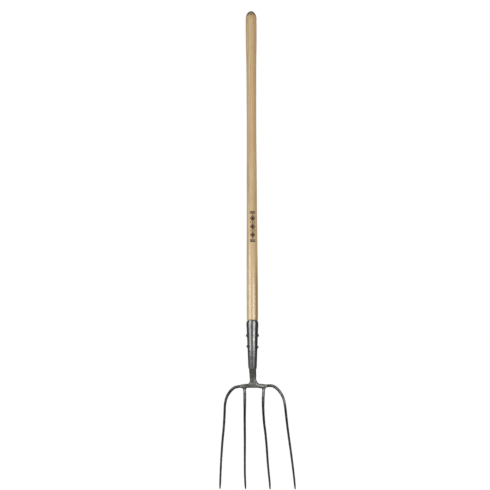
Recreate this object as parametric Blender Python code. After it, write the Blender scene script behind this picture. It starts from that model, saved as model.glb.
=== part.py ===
"""Long-handled four-prong fork: an ash handle riveted into a rolled steel socket, which is
welded to a short neck, a crossbar and four round tines.

Frame: metres, +Z up along the handle towards its domed top. The origin is the middle of the
flat seat under the crossbar, on the handle's axis. -Y is the front, the hollow side that the
tines curve towards. +X is to the right as seen from the front.

All sizes are in mm until finish() scales each piece to metres.
"""
import math

import bmesh
import bpy
from mathutils import Vector

MM = 0.001
GAP = 0.30            # clearance left between neighbouring pieces
SHARP_ANGLE = 38      # degrees: steeper edges are shaded sharp
SPLINE_STEPS = 24     # fine points for each span of a spline

# ---------------------------------------------------------------- handle
HANDLE_TOP = 1301.5   # top of the dome
HANDLE_END = 82.0     # lower end, inside the socket: a 48 in (1219 mm) shaft
HANDLE_END_RADIUS = 11.6
DOME_HEIGHT = 27.5
DOME_RINGS = 9
DOME_STEP = 9.6       # degrees between the dome's rings
CROWN_RADIUS = 0.9    # the small flat ring that closes the dome
CROWN_DROP = 0.02
ROUND_STEPS = 28      # vertices round the handle and the socket

# (z, radius) from the dome's foot down: a swell at the hand end, a waist, a thick lower half
HANDLE_PROFILE = [
    (HANDLE_TOP - DOME_HEIGHT, 18.9), (1229.0, 18.95), (1187.0, 18.7), (1146.0, 17.9),
    (1104.0, 17.3), (1062.0, 17.05), (980.0, 16.75), (925.0, 16.55), (820.0, 16.85),
    (752.0, 17.35), (648.0, 17.75), (565.0, 18.15), (483.0, 18.8), (441.0, 19.2),
    (358.0, 19.2), (276.0, 19.25), (245.0, 19.15), (238.0, 19.1), (236.2, 18.75),
]
# (z, radius) of the part of the handle inside the socket
HANDLE_TAPER = [
    (232.0, 18.15), (200.0, 16.95), (162.0, 15.53), (125.0, 14.15), (94.5, 13.0), (84.0, 12.6),
    (HANDLE_END, HANDLE_END_RADIUS),
]

# ---------------------------------------------------------------- socket
RIM_Z = 235.6         # the highest point of the socket's mouth
RIM_TURN = -86.0      # where that point lies, in degrees round from +X; the front is at -90
RIM_DROP = 6.8        # how much lower the mouth is a quarter turn away
RIM_CURVE = 0.9       # higher makes the fall level off sooner towards the back
ARCH_START_Z = 200.0  # below this the socket's rings are level
ARCH_POWER = 1.5
SOCKET_END = 69.4

# (z, radius) up the outside, then down the inside
SOCKET_OUTER = [
    (SOCKET_END, 13.9), (70.8, 14.5), (81.0, 15.05), (94.5, 15.55), (108.0, 16.1),
    (122.0, 16.5), (133.0, 17.0), (152.0, 17.85), (165.0, 18.35), (173.0, 18.68),
    (192.0, 19.55), (205.0, 20.05), (214.0, 20.45), (222.0, 20.85), (227.0, 20.75),
    (230.0, 20.45), (233.0, 19.95), (RIM_Z, 19.45),
]
SOCKET_INNER = [
    (RIM_Z, 18.95), (231.0, 18.5), (205.0, 17.5), (162.0, 15.88), (125.0, 14.5), (94.5, 13.4),
    (78.5, 12.75), (SOCKET_END, 12.45),
]

SEAM_TOP_WIDTH, SEAM_LOW_WIDTH = 2.0, 0.7
SEAM_LOW_Z = 92.0
SEAM_TOP_Z = RIM_Z + 10
SEAM_CUT_Y = (9.0, 30.0)           # near and far face of the seam's cutter

# ---------------------------------------------------------------- rivets
RIVET_Z = {"rivet_upper": 181.0, "rivet_lower": 143.0}
RIVET_STEPS = 12
SHANK_RADIUS = 3.0
HEAD_RADIUS = 4.9
HEAD_HEIGHT = 3.3
HEAD_EDGE = 0.8                    # height of a head's widest ring
HEAD_UNDERCUT = 0.1                # how much narrower a head is where it meets the wall
# (radius, height) of the heads' rings from the left tip inwards, and outwards to the right tip
LEFT_HEAD = [
    (0.6, HEAD_HEIGHT * 1.05), (2.0, HEAD_HEIGHT * 0.97),
    (HEAD_RADIUS * 0.7, HEAD_HEIGHT * 0.72), (HEAD_RADIUS * 0.9, HEAD_HEIGHT * 0.42),
    (HEAD_RADIUS, HEAD_EDGE),
]
RIGHT_HEAD = [
    (HEAD_RADIUS, HEAD_EDGE), (HEAD_RADIUS * 0.86, HEAD_HEIGHT * 0.58),
    (HEAD_RADIUS * 0.5, HEAD_HEIGHT * 0.92), (0.6, HEAD_HEIGHT),
]
DRILL_STEPS = 16
DRILL_REACH = 30.0                 # half the length of the rods that drill the rivet holes

# ---------------------------------------------------------------- crossbar
BAR_LEFT, BAR_RIGHT = -38.4, 44.4  # the bar's two ends
BAR_UNDER = -1.5                   # underside on each side of the seat
SEAT_HALF = 17.0                   # the flat seat runs to this distance each side of the axis
BAR_HALF_DEPTH = 7.8               # these three hold along the seat
BAR_TOP = 14.0
BAR_CORNER = 3.6
BAR_ARC_POINTS = 4                 # points round each rounded corner

# (x, half depth Y, underside z, top z, corner radius)
CROSSBAR = [
    (BAR_LEFT, 5.9, -0.3, 11.1, 3.8),
    (-36.4, 6.8, -1.1, 12.0, 4.3),
    (-31.0, 7.3, BAR_UNDER, 12.9, 4.4),
    (-24.0, 7.6, BAR_UNDER, 13.6, 4.2),
    (-SEAT_HALF, BAR_HALF_DEPTH, 0.0, BAR_TOP, BAR_CORNER),
    (SEAT_HALF, BAR_HALF_DEPTH, 0.0, BAR_TOP, BAR_CORNER),
    (24.0, 7.8, -1.0, 14.0, 4.0),
    (32.0, 7.6, BAR_UNDER, 13.6, 4.2),
    (38.0, 7.4, BAR_UNDER, 12.8, 4.4),
    (42.6, 6.8, -1.1, 12.1, 4.2),
    (BAR_RIGHT, 5.9, -0.2, 11.5, 3.8),
]

# ---------------------------------------------------------------- neck
TANG_TOP = 79.0
TANG_RADIUS = 12.1
TANG_BEVEL_WIDTH, TANG_BEVEL_HEIGHT = 0.8, 0.9
TANG_FOOT = SOCKET_END - GAP + 0.1
NECK_STEPS = 20
NECK_FOOT = 14.5

# (z, half width X, half depth Y, centre X, centre Y, squareness); squareness 2 is an ellipse
NECK = [
    (SOCKET_END - GAP, 12.7, 12.6, 0.0, 0.0, 2.0), (60.0, 12.5, 11.8, 0.2, 0.7, 2.1),
    (53.0, 12.25, 11.0, 0.5, 1.2, 2.2), (46.0, 11.9, 10.2, 0.9, 1.4, 2.4),
    (39.0, 11.5, 9.5, 1.2, 1.2, 2.6), (31.0, 11.1, 8.8, 1.4, 0.8, 2.8),
    (26.0, 11.4, 8.4, 1.5, 0.5, 3.0), (21.0, 12.2, 8.1, 1.6, 0.2, 3.0),
    (17.0, 13.0, 7.8, 1.6, 0.0, 3.0), (NECK_FOOT, 13.6, 7.5, 1.6, 0.0, 3.0),
]

# ---------------------------------------------------------------- tines
# centre lines in the front plane, (x, z) from root to point; inner tines hang from the
# crossbar's underside, outer ones start at its ends
TINES = {
    "tine_outer_left": [
        (BAR_LEFT - GAP, 5.5), (-50.0, 4.5), (-63.5, 0.6), (-76.7, -11.0), (-88.2, -29.0),
        (-95.4, -55.0), (-97.4, -92.0), (-100.6, -140.0), (-105.0, -184.0), (-109.4, -244.0),
        (-112.5, -306.0), (-114.2, -347.5),
    ],
    "tine_inner_left": [
        (-28.2, BAR_UNDER - GAP), (-27.4, -16.0), (-27.5, -54.0), (-27.9, -116.0),
        (-27.6, -180.0), (-28.1, -250.0), (-28.0, -295.0), (-27.1, -323.0), (-25.7, -348.5),
    ],
    "tine_inner_right": [
        (38.2, BAR_UNDER - GAP), (37.5, -14.0), (36.2, -42.0), (36.1, -70.0), (38.7, -116.0),
        (43.5, -157.0), (47.3, -199.0), (51.4, -261.0), (55.4, -305.0), (57.4, -326.0),
        (58.7, -349.5),
    ],
    "tine_outer_right": [
        (BAR_RIGHT + GAP, 5.8), (56.5, 7.3), (70.0, 6.0), (84.0, -2.9), (96.6, -17.8),
        (106.1, -36.6), (111.3, -60.0), (115.6, -98.0), (120.3, -140.0), (125.7, -181.0),
        (134.0, -243.0), (141.0, -303.0), (145.5, -350.0),
    ],
}
# side profile shared by the four tines: (z, y). They sweep back a little, then come forward.
DISH = [
    (12.0, 0.0), (-4.0, 0.0), (-28.0, 2.4), (-60.0, 6.3), (-100.0, 8.6), (-140.0, 7.2),
    (-180.0, 1.8), (-220.0, -8.0), (-260.0, -22.0), (-300.0, -41.0), (-350.0, -70.0),
]
DISH_STEPS = 240
# (share of the tine's length, radius in the front plane)
TINE_RADIUS = [
    (0.0, 4.9), (0.12, 4.85), (0.20, 4.32), (0.30, 4.03), (0.45, 3.86), (0.60, 3.7),
    (0.75, 3.52), (0.90, 3.32), (0.950, 3.12), (0.975, 2.75), (0.990, 2.2), (1.0, 1.3),
]
TINE_OVAL = 1.10                   # depth over width
TINE_STEPS = 12
# shares of the length that get a ring: evenly down the body, closer at the point
BODY_SHARE, BODY_SPANS = 0.95, 26
TINE_SHARES = [i / BODY_SPANS * BODY_SHARE for i in range(BODY_SPANS + 1)]
TINE_SHARES += [0.963, 0.975, 0.985, 0.992, 0.997, 1.0]

# ---------------------------------------------------------------- welds
# fillets round the tines' roots: height along the tine, width, phase and size of the lumps
TINE_WELDS = {
    "tine_outer_left": dict(height=5.2, width=1.35, phase=0.4, roughness=0.12),
    "tine_inner_left": dict(height=4.0, width=2.9, phase=1.9, roughness=0.30),
    "tine_inner_right": dict(height=4.2, width=3.0, phase=3.1, roughness=0.30),
    "tine_outer_right": dict(height=4.2, width=1.35, phase=5.2, roughness=0.12),
}
TINE_WELD_STEPS = 16
TINE_WELD_EASE = 0.06              # clearance from the tine beyond GAP

# corner fillets beside the neck: (distance out from the neck, rise above the crossbar)
NECK_FILLET_LEFT = [(3.5, 0.0), (3.0, 0.8), (1.6, 2.3), (0.55, 5.2)]
NECK_FILLET_RIGHT = [
    (9.4, 0.0), (6.0, 0.9), (3.9, 2.7), (2.8, 4.6), (1.5, 7.8), (0.9, 11.3), (0.45, 13.7),
]
FILLET_DEPTH = 11.2                # length of a corner fillet along Y
FILLET_SPANS = 8
FILLET_EASE = 0.12                 # clearance from the neck beyond GAP
FILLET_MIN = 0.45                  # least thickness
FILLET_WALL_POINTS = 5             # points down the side next to the neck

FACE_WELD_LENGTH = 21.0            # along X
FACE_WELD_SPANS = 10
FACE_WELD_TOP = 16.4
FACE_WELD_CLEAR = 0.38             # clearance from the neck's face

SOCKET_WELD_STEPS = 20
SOCKET_WELD_EASE = 0.1
SOCKET_WELD_TOP, SOCKET_WELD_FOOT = 68.9, 65.2


# ---------------------------------------------------------------- geometry helpers
def lookup(table, key):
    """Linear interpolation in a list of (key, value), held level beyond its ends."""
    rows = sorted(table)
    if key <= rows[0][0]:
        return rows[0][1]
    for (low, low_value), (high, high_value) in zip(rows, rows[1:]):
        if key <= high:
            return low_value + (high_value - low_value) * (key - low) / (high - low)
    return rows[-1][1]


def blend(start, end, start_knot, end_knot, knot):
    """The point at a knot value on the line through start and end."""
    span = end_knot - start_knot
    return start * ((end_knot - knot) / span) + end * ((knot - start_knot) / span)


def spline(points, shares):
    """Points at the given shares of the length of a centripetal Catmull-Rom curve, and its length."""
    points = [Vector(p) for p in points]
    points = [points[0] * 2 - points[1]] + points + [points[-1] * 2 - points[-2]]
    fine = []
    for i in range(1, len(points) - 2):
        p0, p1, p2, p3 = points[i - 1:i + 3]
        k0 = 0.0
        k1 = k0 + (p1 - p0).length ** 0.5
        k2 = k1 + (p2 - p1).length ** 0.5
        k3 = k2 + (p3 - p2).length ** 0.5
        for j in range(SPLINE_STEPS):
            knot = k1 + (k2 - k1) * j / SPLINE_STEPS
            first = blend(p0, p1, k0, k1, knot)
            middle = blend(p1, p2, k1, k2, knot)
            last = blend(p2, p3, k2, k3, knot)
            fine.append(blend(blend(first, middle, k0, k2, knot),
                              blend(middle, last, k1, k3, knot), k1, k2, knot))
    fine.append(points[-2])

    lengths = [0.0]
    for start, end in zip(fine, fine[1:]):
        lengths.append(lengths[-1] + (end - start).length)
    found = []
    i = 0
    for share in shares:
        target = share * lengths[-1]
        while i < len(lengths) - 2 and lengths[i + 1] < target:
            i += 1
        part = (target - lengths[i]) / max(lengths[i + 1] - lengths[i], 1e-9)
        found.append(fine[i].lerp(fine[i + 1], min(max(part, 0.0), 1.0)))
    return found, lengths[-1]


def ring_angles(steps, offset=0.0):
    """Angles round a full turn; offset is a share of one step."""
    return [2 * math.pi * (i + offset) / steps for i in range(steps)]


def finish(name, bm, mat):
    """Makes the bmesh, in mm, into a named object in metres."""
    bmesh.ops.recalc_face_normals(bm, faces=bm.faces)
    bmesh.ops.scale(bm, vec=(MM, MM, MM), verts=bm.verts)
    mesh = bpy.data.meshes.new(name)
    bm.to_mesh(mesh)
    bm.free()
    mesh.materials.append(mat)
    mesh.shade_smooth()
    mesh.set_sharp_from_angle(angle=math.radians(SHARP_ANGLE))
    obj = bpy.data.objects.new(name, mesh)
    bpy.context.scene.collection.objects.link(obj)
    return obj


def loft(name, rings, mat, caps=True):
    """A skin over the rings. With caps the ends are closed; without, the last ring joins the first."""
    bm = bmesh.new()
    loops = [[bm.verts.new(p) for p in ring] for ring in rings]
    pairs = list(zip(loops, loops[1:]))
    if not caps:
        pairs.append((loops[-1], loops[0]))
    count = len(loops[0])
    for lower, upper in pairs:
        for i in range(count):
            j = (i + 1) % count
            bm.faces.new((lower[i], lower[j], upper[j], upper[i]))
    if caps:
        for loop in (loops[0], loops[-1]):
            centre = Vector()
            for vert in loop:
                centre += vert.co
            hub = bm.verts.new(centre / count)
            for i in range(count):
                bm.faces.new((loop[i], loop[(i + 1) % count], hub))
    return finish(name, bm, mat)


def rim_fall(angle):
    """How far the socket's mouth falls at an angle, as a share of RIM_DROP: nothing at RIM_TURN,
    1 a quarter turn away, 1.3 at the back."""
    turned = 1 - math.cos(angle - math.radians(RIM_TURN))
    return math.tanh(RIM_CURVE * turned) / math.tanh(RIM_CURVE)


def circle(z, radius, drop=0.0):
    """A ring round the Z axis. drop lowers it away from RIM_TURN, as an arched mouth."""
    return [Vector((radius * math.cos(angle), radius * math.sin(angle), z - drop * rim_fall(angle)))
            for angle in ring_angles(ROUND_STEPS, 0.5)]


def superellipse(z, half_x, half_y, centre_x, centre_y, power):
    ring = []
    for angle in ring_angles(NECK_STEPS):
        cos, sin = math.cos(angle), math.sin(angle)
        ring.append(Vector((
            centre_x + half_x * math.copysign(abs(cos) ** (2 / power), cos),
            centre_y + half_y * math.copysign(abs(sin) ** (2 / power), sin), z)))
    return ring


# ---------------------------------------------------------------- cutting
def cutter(name, rings, mat):
    """A helper solid that is kept out of renders."""
    obj = loft(name, rings, mat)
    obj.hide_render = True
    obj.display_type = "WIRE"
    return obj


def cut(obj, tool):
    mod = obj.modifiers.new("cut_" + tool.name, "BOOLEAN")
    mod.operation = "DIFFERENCE"
    mod.solver = "EXACT"
    mod.object = tool


def drill_rivet_holes(obj, label, mat):
    """Cuts a hole along X through the piece for each rivet."""
    radius = SHANK_RADIUS + GAP
    for name, z in RIVET_Z.items():
        rings = [[Vector((x, radius * math.cos(angle), z + radius * math.sin(angle)))
                  for angle in ring_angles(DRILL_STEPS, 0.5)]
                 for x in (-DRILL_REACH, DRILL_REACH)]
        cut(obj, cutter(f"drill_{label}_{name}", rings, mat))


# ---------------------------------------------------------------- handle, socket and rivets
def build_handle(mat):
    """The turned shaft: dome, hand swell, waist, shoulder and the taper that fills the socket."""
    dome_foot, dome_radius = HANDLE_PROFILE[0]
    stations = [(HANDLE_TOP - CROWN_DROP, CROWN_RADIUS)]
    for i in range(DOME_RINGS, 0, -1):
        angle = math.radians(DOME_STEP * i)
        stations.append((dome_foot + DOME_HEIGHT * math.sin(angle), dome_radius * math.cos(angle)))
    stations += HANDLE_PROFILE + HANDLE_TAPER
    obj = loft("ash_handle", [circle(z, radius) for z, radius in stations], mat)
    drill_rivet_holes(obj, "handle", mat)


def build_socket(mat):
    """A tapered tube rolled from sheet, its seam at the back and its mouth arched up to the front."""
    rings = []
    for z, radius in SOCKET_OUTER + SOCKET_INNER:
        arch = max(0.0, (z - ARCH_START_Z) / (RIM_Z - ARCH_START_Z)) ** ARCH_POWER
        rings.append(circle(z, radius, RIM_DROP * arch))
    obj = loft("socket", rings, mat, caps=False)
    drill_rivet_holes(obj, "socket", mat)

    # the rear seam: a tapering slot through the wall on the +Y side
    seam = [[Vector((-SEAM_LOW_WIDTH / 2, y, SEAM_LOW_Z)),
             Vector((SEAM_LOW_WIDTH / 2, y, SEAM_LOW_Z)),
             Vector((SEAM_TOP_WIDTH / 2, y, SEAM_TOP_Z)),
             Vector((-SEAM_TOP_WIDTH / 2, y, SEAM_TOP_Z))] for y in SEAM_CUT_Y]
    cut(obj, cutter("seam_cutter", seam, mat))


def build_rivet(name, mat):
    """A through rivet along X, its left head slightly taller than the right. Both heads are
    formed down onto the socket's round wall."""
    rivet_z = RIVET_Z[name]
    wall = lookup(SOCKET_OUTER, rivet_z)

    def ring(side, radius, height=None):
        """A flat ring at a height above the wall or, with no height, one that lies on the wall."""
        points = []
        for angle in ring_angles(RIVET_STEPS):
            y = radius * math.cos(angle)
            z = rivet_z + radius * math.sin(angle)
            if height is None:
                reach = math.sqrt(lookup(SOCKET_OUTER, z) ** 2 - y * y)
            else:
                reach = wall + height
            points.append(Vector((side * (reach + GAP), y, z)))
        return points

    seat_radius = HEAD_RADIUS - HEAD_UNDERCUT
    rings = [ring(-1, radius, height) for radius, height in LEFT_HEAD]
    rings += [ring(-1, seat_radius), ring(-1, SHANK_RADIUS)]
    rings += [ring(1, SHANK_RADIUS), ring(1, seat_radius)]
    rings += [ring(1, radius, height) for radius, height in RIGHT_HEAD]
    loft(name, rings, mat)


# ---------------------------------------------------------------- neck and crossbar
def build_neck(mat):
    """The shank: a round tang in the socket's lower end, flattening downwards to the crossbar."""
    bevelled = TANG_RADIUS - TANG_BEVEL_WIDTH
    tang = [(TANG_TOP, bevelled), (TANG_TOP - TANG_BEVEL_HEIGHT, TANG_RADIUS),
            (TANG_FOOT, TANG_RADIUS)]
    rings = [superellipse(z, radius, radius, 0, 0, 2.0) for z, radius in tang]
    rings += [superellipse(*row) for row in NECK]
    loft("neck", rings, mat)


def bar_section(x, half, low, high, corner):
    """Rounded rectangle across the crossbar at x."""
    ring = []
    centres = [(half - corner, high - corner, 0), (-half + corner, high - corner, 90),
               (-half + corner, low + corner, 180), (half - corner, low + corner, 270)]
    for centre_y, centre_z, start in centres:
        for i in range(BAR_ARC_POINTS):
            angle = math.radians(start + 90 * i / (BAR_ARC_POINTS - 1))
            ring.append(Vector((x, centre_y + corner * math.cos(angle),
                                centre_z + corner * math.sin(angle))))
    return ring


def build_crossbar(mat):
    loft("crossbar", [bar_section(*row) for row in CROSSBAR], mat)


# ---------------------------------------------------------------- tines
def tine_path(name, shares):
    """The centre line in the front plane at shares of its length, and that length."""
    return spline([(x, 0.0, z) for x, z in TINES[name]], shares)


def tine_frames(name, shares):
    """(centre, across, depth) at shares of the tine's length."""
    side, _ = spline([(z, y, 0.0) for z, y in DISH],
                     [i / DISH_STEPS for i in range(DISH_STEPS + 1)])
    dish = [(p.x, p.y) for p in side]
    centres = [Vector((p.x, lookup(dish, p.z), p.z)) for p in tine_path(name, shares)[0]]
    frames = []
    for i, centre in enumerate(centres):
        before = centres[max(i - 1, 0)]
        after = centres[min(i + 1, len(centres) - 1)]
        tangent = (after - before).normalized()
        depth = (Vector((0, 1, 0)) - tangent * tangent.y).normalized()
        frames.append((centre, depth.cross(tangent).normalized(), depth))
    return frames


def tine_point(name, frame, half_width, half_depth, angle, at_root):
    """A point round the tine. At the root it is moved square to the crossbar face."""
    centre, across, depth = frame
    point = (centre + across * (half_width * math.cos(angle))
             + depth * (half_depth * math.sin(angle)))
    if at_root and "inner" in name:
        point.z = centre.z
    elif at_root:
        point.x = centre.x
    return point


def build_tine(name, mat):
    """A slightly oval bar, swept along its centre line and brought to a blunt point."""
    rings = []
    for share, frame in zip(TINE_SHARES, tine_frames(name, TINE_SHARES)):
        radius = lookup(TINE_RADIUS, share)
        rings.append([tine_point(name, frame, radius, radius * TINE_OVAL, angle, share == 0.0)
                      for angle in ring_angles(TINE_STEPS)])
    loft(name, rings, mat)


# ---------------------------------------------------------------- welds
def build_tine_weld(name, mat, height, width, phase, roughness):
    """A fillet round a tine's root: a lumpy ring, wide at the crossbar and thin along the tine."""
    _, length = tine_path(name, [])
    # (distance out from the tine, distance along it)
    profile = [(GAP, 0.0), (width, 0.0), (width * 0.86, height * 0.2),
               (width * 0.42, height * 0.55), (GAP + 0.55, height), (GAP, height),
               (GAP, height * 0.5)]
    # the tine's own frames, so that the ring follows its bend
    stations = sorted({along for _, along in profile})
    frames = dict(zip(stations, tine_frames(name, [along / length for along in stations])))
    rings = []
    for angle in ring_angles(TINE_WELD_STEPS):
        lump = roughness * (math.sin(3 * angle + phase) + 0.7 * math.sin(5 * angle + 2 * phase))
        ring = []
        for out, along in profile:
            radius = lookup(TINE_RADIUS, along / length) + TINE_WELD_EASE
            # only the outer points are lumpy
            grow = out + (lump if out > GAP + 0.6 else 0.0)
            ring.append(tine_point(name, frames[along], radius + grow,
                                   radius * TINE_OVAL + grow, angle, along == 0.0))
        rings.append(ring)
    loft(name.replace("tine_", "weld_"), rings, mat, caps=False)


def neck_section(z):
    """Half width, half depth, centre X, centre Y and squareness of the neck at height z."""
    return [lookup([(row[0], row[k]) for row in NECK], z) for k in range(1, 6)]


def curve_reach(half, share, power):
    """Half extent of a superellipse at a share of the way out along its other axis."""
    return half * (1 - min(abs(share), 1.0) ** power) ** (1 / power)


def neck_reach(z, y, side):
    """How far the neck's surface lies to the left (-1) or right (+1) of the axis."""
    half_x, half_y, centre_x, centre_y, power = neck_section(z)
    return curve_reach(half_x, (y - centre_y) / half_y, power) + side * centre_x


def neck_face(z, x):
    """Distance of the neck's front or back face from the middle plane, near its foot."""
    half_x, half_y, centre_x, _, power = neck_section(z)
    return curve_reach(half_y, (x - centre_x) / half_x, power)


def build_neck_side_weld(name, side, fillet, mat):
    """A fillet in the corner between one side of the neck and the crossbar."""
    base = BAR_TOP + GAP
    rings = []
    for i in range(FILLET_SPANS + 1):
        y = -FILLET_DEPTH / 2 + FILLET_DEPTH * i / FILLET_SPANS
        # fullest in the middle, half size at both ends
        swell = 0.5
        if 0 < i < FILLET_SPANS:
            swell = 0.55 + 0.45 * math.cos(math.pi * y / FILLET_DEPTH) ** 0.5

        def wall(rise):
            return neck_reach(base + rise, y, side) + GAP + FILLET_EASE

        top = fillet[-1][1] * swell
        profile = [(wall(0.0), base)]
        profile += [(wall(rise * swell) + max(out * swell, FILLET_MIN), base + rise * swell)
                    for out, rise in fillet]
        for k in range(FILLET_WALL_POINTS, 0, -1):
            rise = top * k / FILLET_WALL_POINTS
            profile.append((wall(rise), base + rise))
        rings.append([Vector((side * reach, y, z)) for reach, z in profile])
    loft(name, rings, mat)


def bar_edge_point(degrees):
    """(y, z) just outside the crossbar's rounded upper edge, at an angle from straight up."""
    angle = math.radians(degrees)
    reach = BAR_CORNER + GAP + 0.05
    return (BAR_HALF_DEPTH - BAR_CORNER + reach * math.sin(angle),
            BAR_TOP - BAR_CORNER + reach * math.cos(angle))


def build_neck_face_weld(name, side, mat):
    """A thin run along the front or back of the neck's foot, filling the groove between its
    face and the crossbar's rounded upper edge."""
    middle = NECK[-1][3]
    rings = []
    for i in range(FACE_WELD_SPANS + 1):
        x = middle - FACE_WELD_LENGTH / 2 + FACE_WELD_LENGTH * i / FACE_WELD_SPANS
        lump = 0.12 * math.sin(2.1 * x) if 0 < i < FACE_WELD_SPANS else 0.0
        top = FACE_WELD_TOP + lump
        foot_y, top_y = neck_face(NECK_FOOT, x), neck_face(top, x)
        # (y, z) up the neck's face, down the outside, then back round the crossbar's edge
        profile = [
            bar_edge_point(25), (foot_y, 14.16), (foot_y + FACE_WELD_CLEAR, 14.3),
            (top_y + FACE_WELD_CLEAR, top), (top_y + 0.8, top - 0.2),
            (8.75 + lump, 14.6), (8.85 + lump, 13.0), (8.4, 11.5),
            bar_edge_point(75), bar_edge_point(55), bar_edge_point(40),
        ]
        rings.append([Vector((x, side * y, z)) for y, z in profile])
    loft(name, rings, mat)


def build_socket_weld(mat):
    """The bead that runs round the neck under the socket's lower end."""
    rings = []
    for angle in ring_angles(SOCKET_WELD_STEPS):
        lump = 0.18 * math.sin(7 * angle) + 0.12 * math.sin(4 * angle + 1.0)
        # (distance out from the neck, z)
        profile = [(GAP, SOCKET_WELD_TOP), (1.35 + lump, SOCKET_WELD_TOP), (1.5 + lump, 68.0),
                   (0.95 + lump, 66.4), (GAP + 0.25, SOCKET_WELD_FOOT), (GAP, SOCKET_WELD_FOOT)]
        ring = []
        for out, z in profile:
            half_x, half_y, centre_x, centre_y, _ = neck_section(z)
            grow = out + SOCKET_WELD_EASE
            ring.append(Vector((centre_x + (half_x + grow) * math.cos(angle),
                                centre_y + (half_y + grow) * math.sin(angle), z)))
        rings.append(ring)
    loft("weld_socket", rings, mat, caps=False)


# ---------------------------------------------------------------- build
def material(name, colour, roughness, metallic):
    mat = bpy.data.materials.get(name) or bpy.data.materials.new(name)
    mat.use_nodes = True
    bsdf = mat.node_tree.nodes["Principled BSDF"]
    bsdf.inputs["Base Color"].default_value = (*colour, 1.0)
    bsdf.inputs["Roughness"].default_value = roughness
    bsdf.inputs["Metallic"].default_value = metallic
    mat.diffuse_color = (*colour, 1.0)
    return mat


def main():
    for obj in list(bpy.data.objects):
        bpy.data.objects.remove(obj, do_unlink=True)

    ash = material("varnished_ash", colour=(0.50, 0.37, 0.22), roughness=0.42, metallic=0.0)
    steel = material("dark_forged_steel", colour=(0.085, 0.085, 0.08), roughness=0.42,
                     metallic=0.65)
    rivet = material("rivet_steel", colour=(0.11, 0.11, 0.105), roughness=0.40, metallic=0.7)
    bead = material("weld_metal", colour=(0.14, 0.14, 0.14), roughness=0.50, metallic=0.6)

    build_handle(ash)
    build_socket(steel)
    build_neck(steel)
    build_crossbar(steel)
    for name in TINES:
        build_tine(name, steel)
    for name in RIVET_Z:
        build_rivet(name, rivet)
    for name, shape in TINE_WELDS.items():
        build_tine_weld(name, bead, **shape)
    build_neck_side_weld("weld_neck_left", -1, NECK_FILLET_LEFT, bead)
    build_neck_side_weld("weld_neck_right", 1, NECK_FILLET_RIGHT, bead)
    build_neck_face_weld("weld_neck_front", -1, bead)
    build_neck_face_weld("weld_neck_back", 1, bead)
    build_socket_weld(bead)


main()
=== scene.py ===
"""A long-handled four-prong fork: a turned and varnished ash handle in a rolled steel socket, held by
two rivets, above a forged neck and crossbar with four drawn and dished tines, all welded together.

It stands upright with the handle's axis on Z, its tines pointing down and the middle of the
crossbar's underside at z = 0. The front faces -Y and right is +X. Shapes are in mm and become metres
when a mesh is made; materials, lights and the camera are in metres."""
import itertools
import math

import bmesh
import bpy
import numpy as np
from mathutils import Matrix, Vector


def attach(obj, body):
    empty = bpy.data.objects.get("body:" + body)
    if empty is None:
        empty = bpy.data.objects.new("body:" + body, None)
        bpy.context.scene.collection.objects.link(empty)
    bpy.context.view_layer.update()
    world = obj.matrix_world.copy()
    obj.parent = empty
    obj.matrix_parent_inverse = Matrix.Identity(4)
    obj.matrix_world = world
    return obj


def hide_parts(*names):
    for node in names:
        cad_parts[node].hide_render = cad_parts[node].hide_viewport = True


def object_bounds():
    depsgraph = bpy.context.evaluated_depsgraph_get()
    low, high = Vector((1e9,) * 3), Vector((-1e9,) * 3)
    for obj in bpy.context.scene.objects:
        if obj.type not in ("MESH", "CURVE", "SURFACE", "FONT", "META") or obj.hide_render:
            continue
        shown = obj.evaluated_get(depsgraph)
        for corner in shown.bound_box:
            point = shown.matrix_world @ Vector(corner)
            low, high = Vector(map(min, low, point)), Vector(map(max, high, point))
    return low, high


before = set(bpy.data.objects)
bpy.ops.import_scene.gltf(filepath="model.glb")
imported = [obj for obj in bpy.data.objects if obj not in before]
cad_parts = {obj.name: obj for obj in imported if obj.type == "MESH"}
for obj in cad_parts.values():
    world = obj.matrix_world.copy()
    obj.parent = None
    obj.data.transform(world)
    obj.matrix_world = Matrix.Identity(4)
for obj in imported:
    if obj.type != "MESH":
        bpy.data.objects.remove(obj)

MM = 0.001
CAD_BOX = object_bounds()

# ---------------------------------------------------------------- handle, in mm
HANDLE_TOP, DOME_HEIGHT = 1301.5, 27.5
# (z, radius), from the foot of the dome down to the end inside the socket
HANDLE_PROFILE = [
    (1274.0, 18.9), (1229.0, 18.95), (1187.0, 18.7), (1146.0, 17.9), (1104.0, 17.3),
    (1062.0, 17.05), (980.0, 16.75), (925.0, 16.55), (820.0, 16.85), (752.0, 17.35),
    (648.0, 17.75), (565.0, 18.15), (483.0, 18.8), (441.0, 19.2), (358.0, 19.2), (276.0, 19.25),
    (245.0, 19.15), (238.0, 19.1), (236.9, 19.06), (236.3, 18.96), (235.7, 18.7), (232.0, 18.15),
    (200.0, 16.95), (162.0, 15.53), (125.0, 14.15), (94.5, 13.0), (84.0, 12.6),
]
# (z, radius) of the rounded lower end
HANDLE_FOOT = [(83.2, 12.45), (82.5, 12.1), (82.0, 11.5)]
# (z, angle from +X in radians, radius, depth) of the dents
HANDLE_DENTS = [
    (1243.0, -1.9, 2.6, 0.30), (1187.0, 0.4, 3.4, 0.26), (1090.0, -2.6, 2.2, 0.22),
    (943.0, -1.1, 3.0, 0.24), (868.0, 2.3, 2.4, 0.30), (733.0, -0.3, 2.8, 0.20),
    (688.0, -2.2, 2.0, 0.24), (471.0, -1.35, 2.6, 0.20), (398.0, 1.2, 3.2, 0.28),
    (331.0, -2.8, 2.2, 0.26), (291.0, -0.7, 2.4, 0.22), (1268.0, 2.0, 3.0, 0.34),
]
# the burnt ornament: its ends in z, the turn of its middle from the front towards the right in
# degrees, and the radius on which it is laid out
MARK_LOW, MARK_HIGH, MARK_TURN, MARK_RADIUS = 504.0, 611.0, 8.0, 17.9

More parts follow.
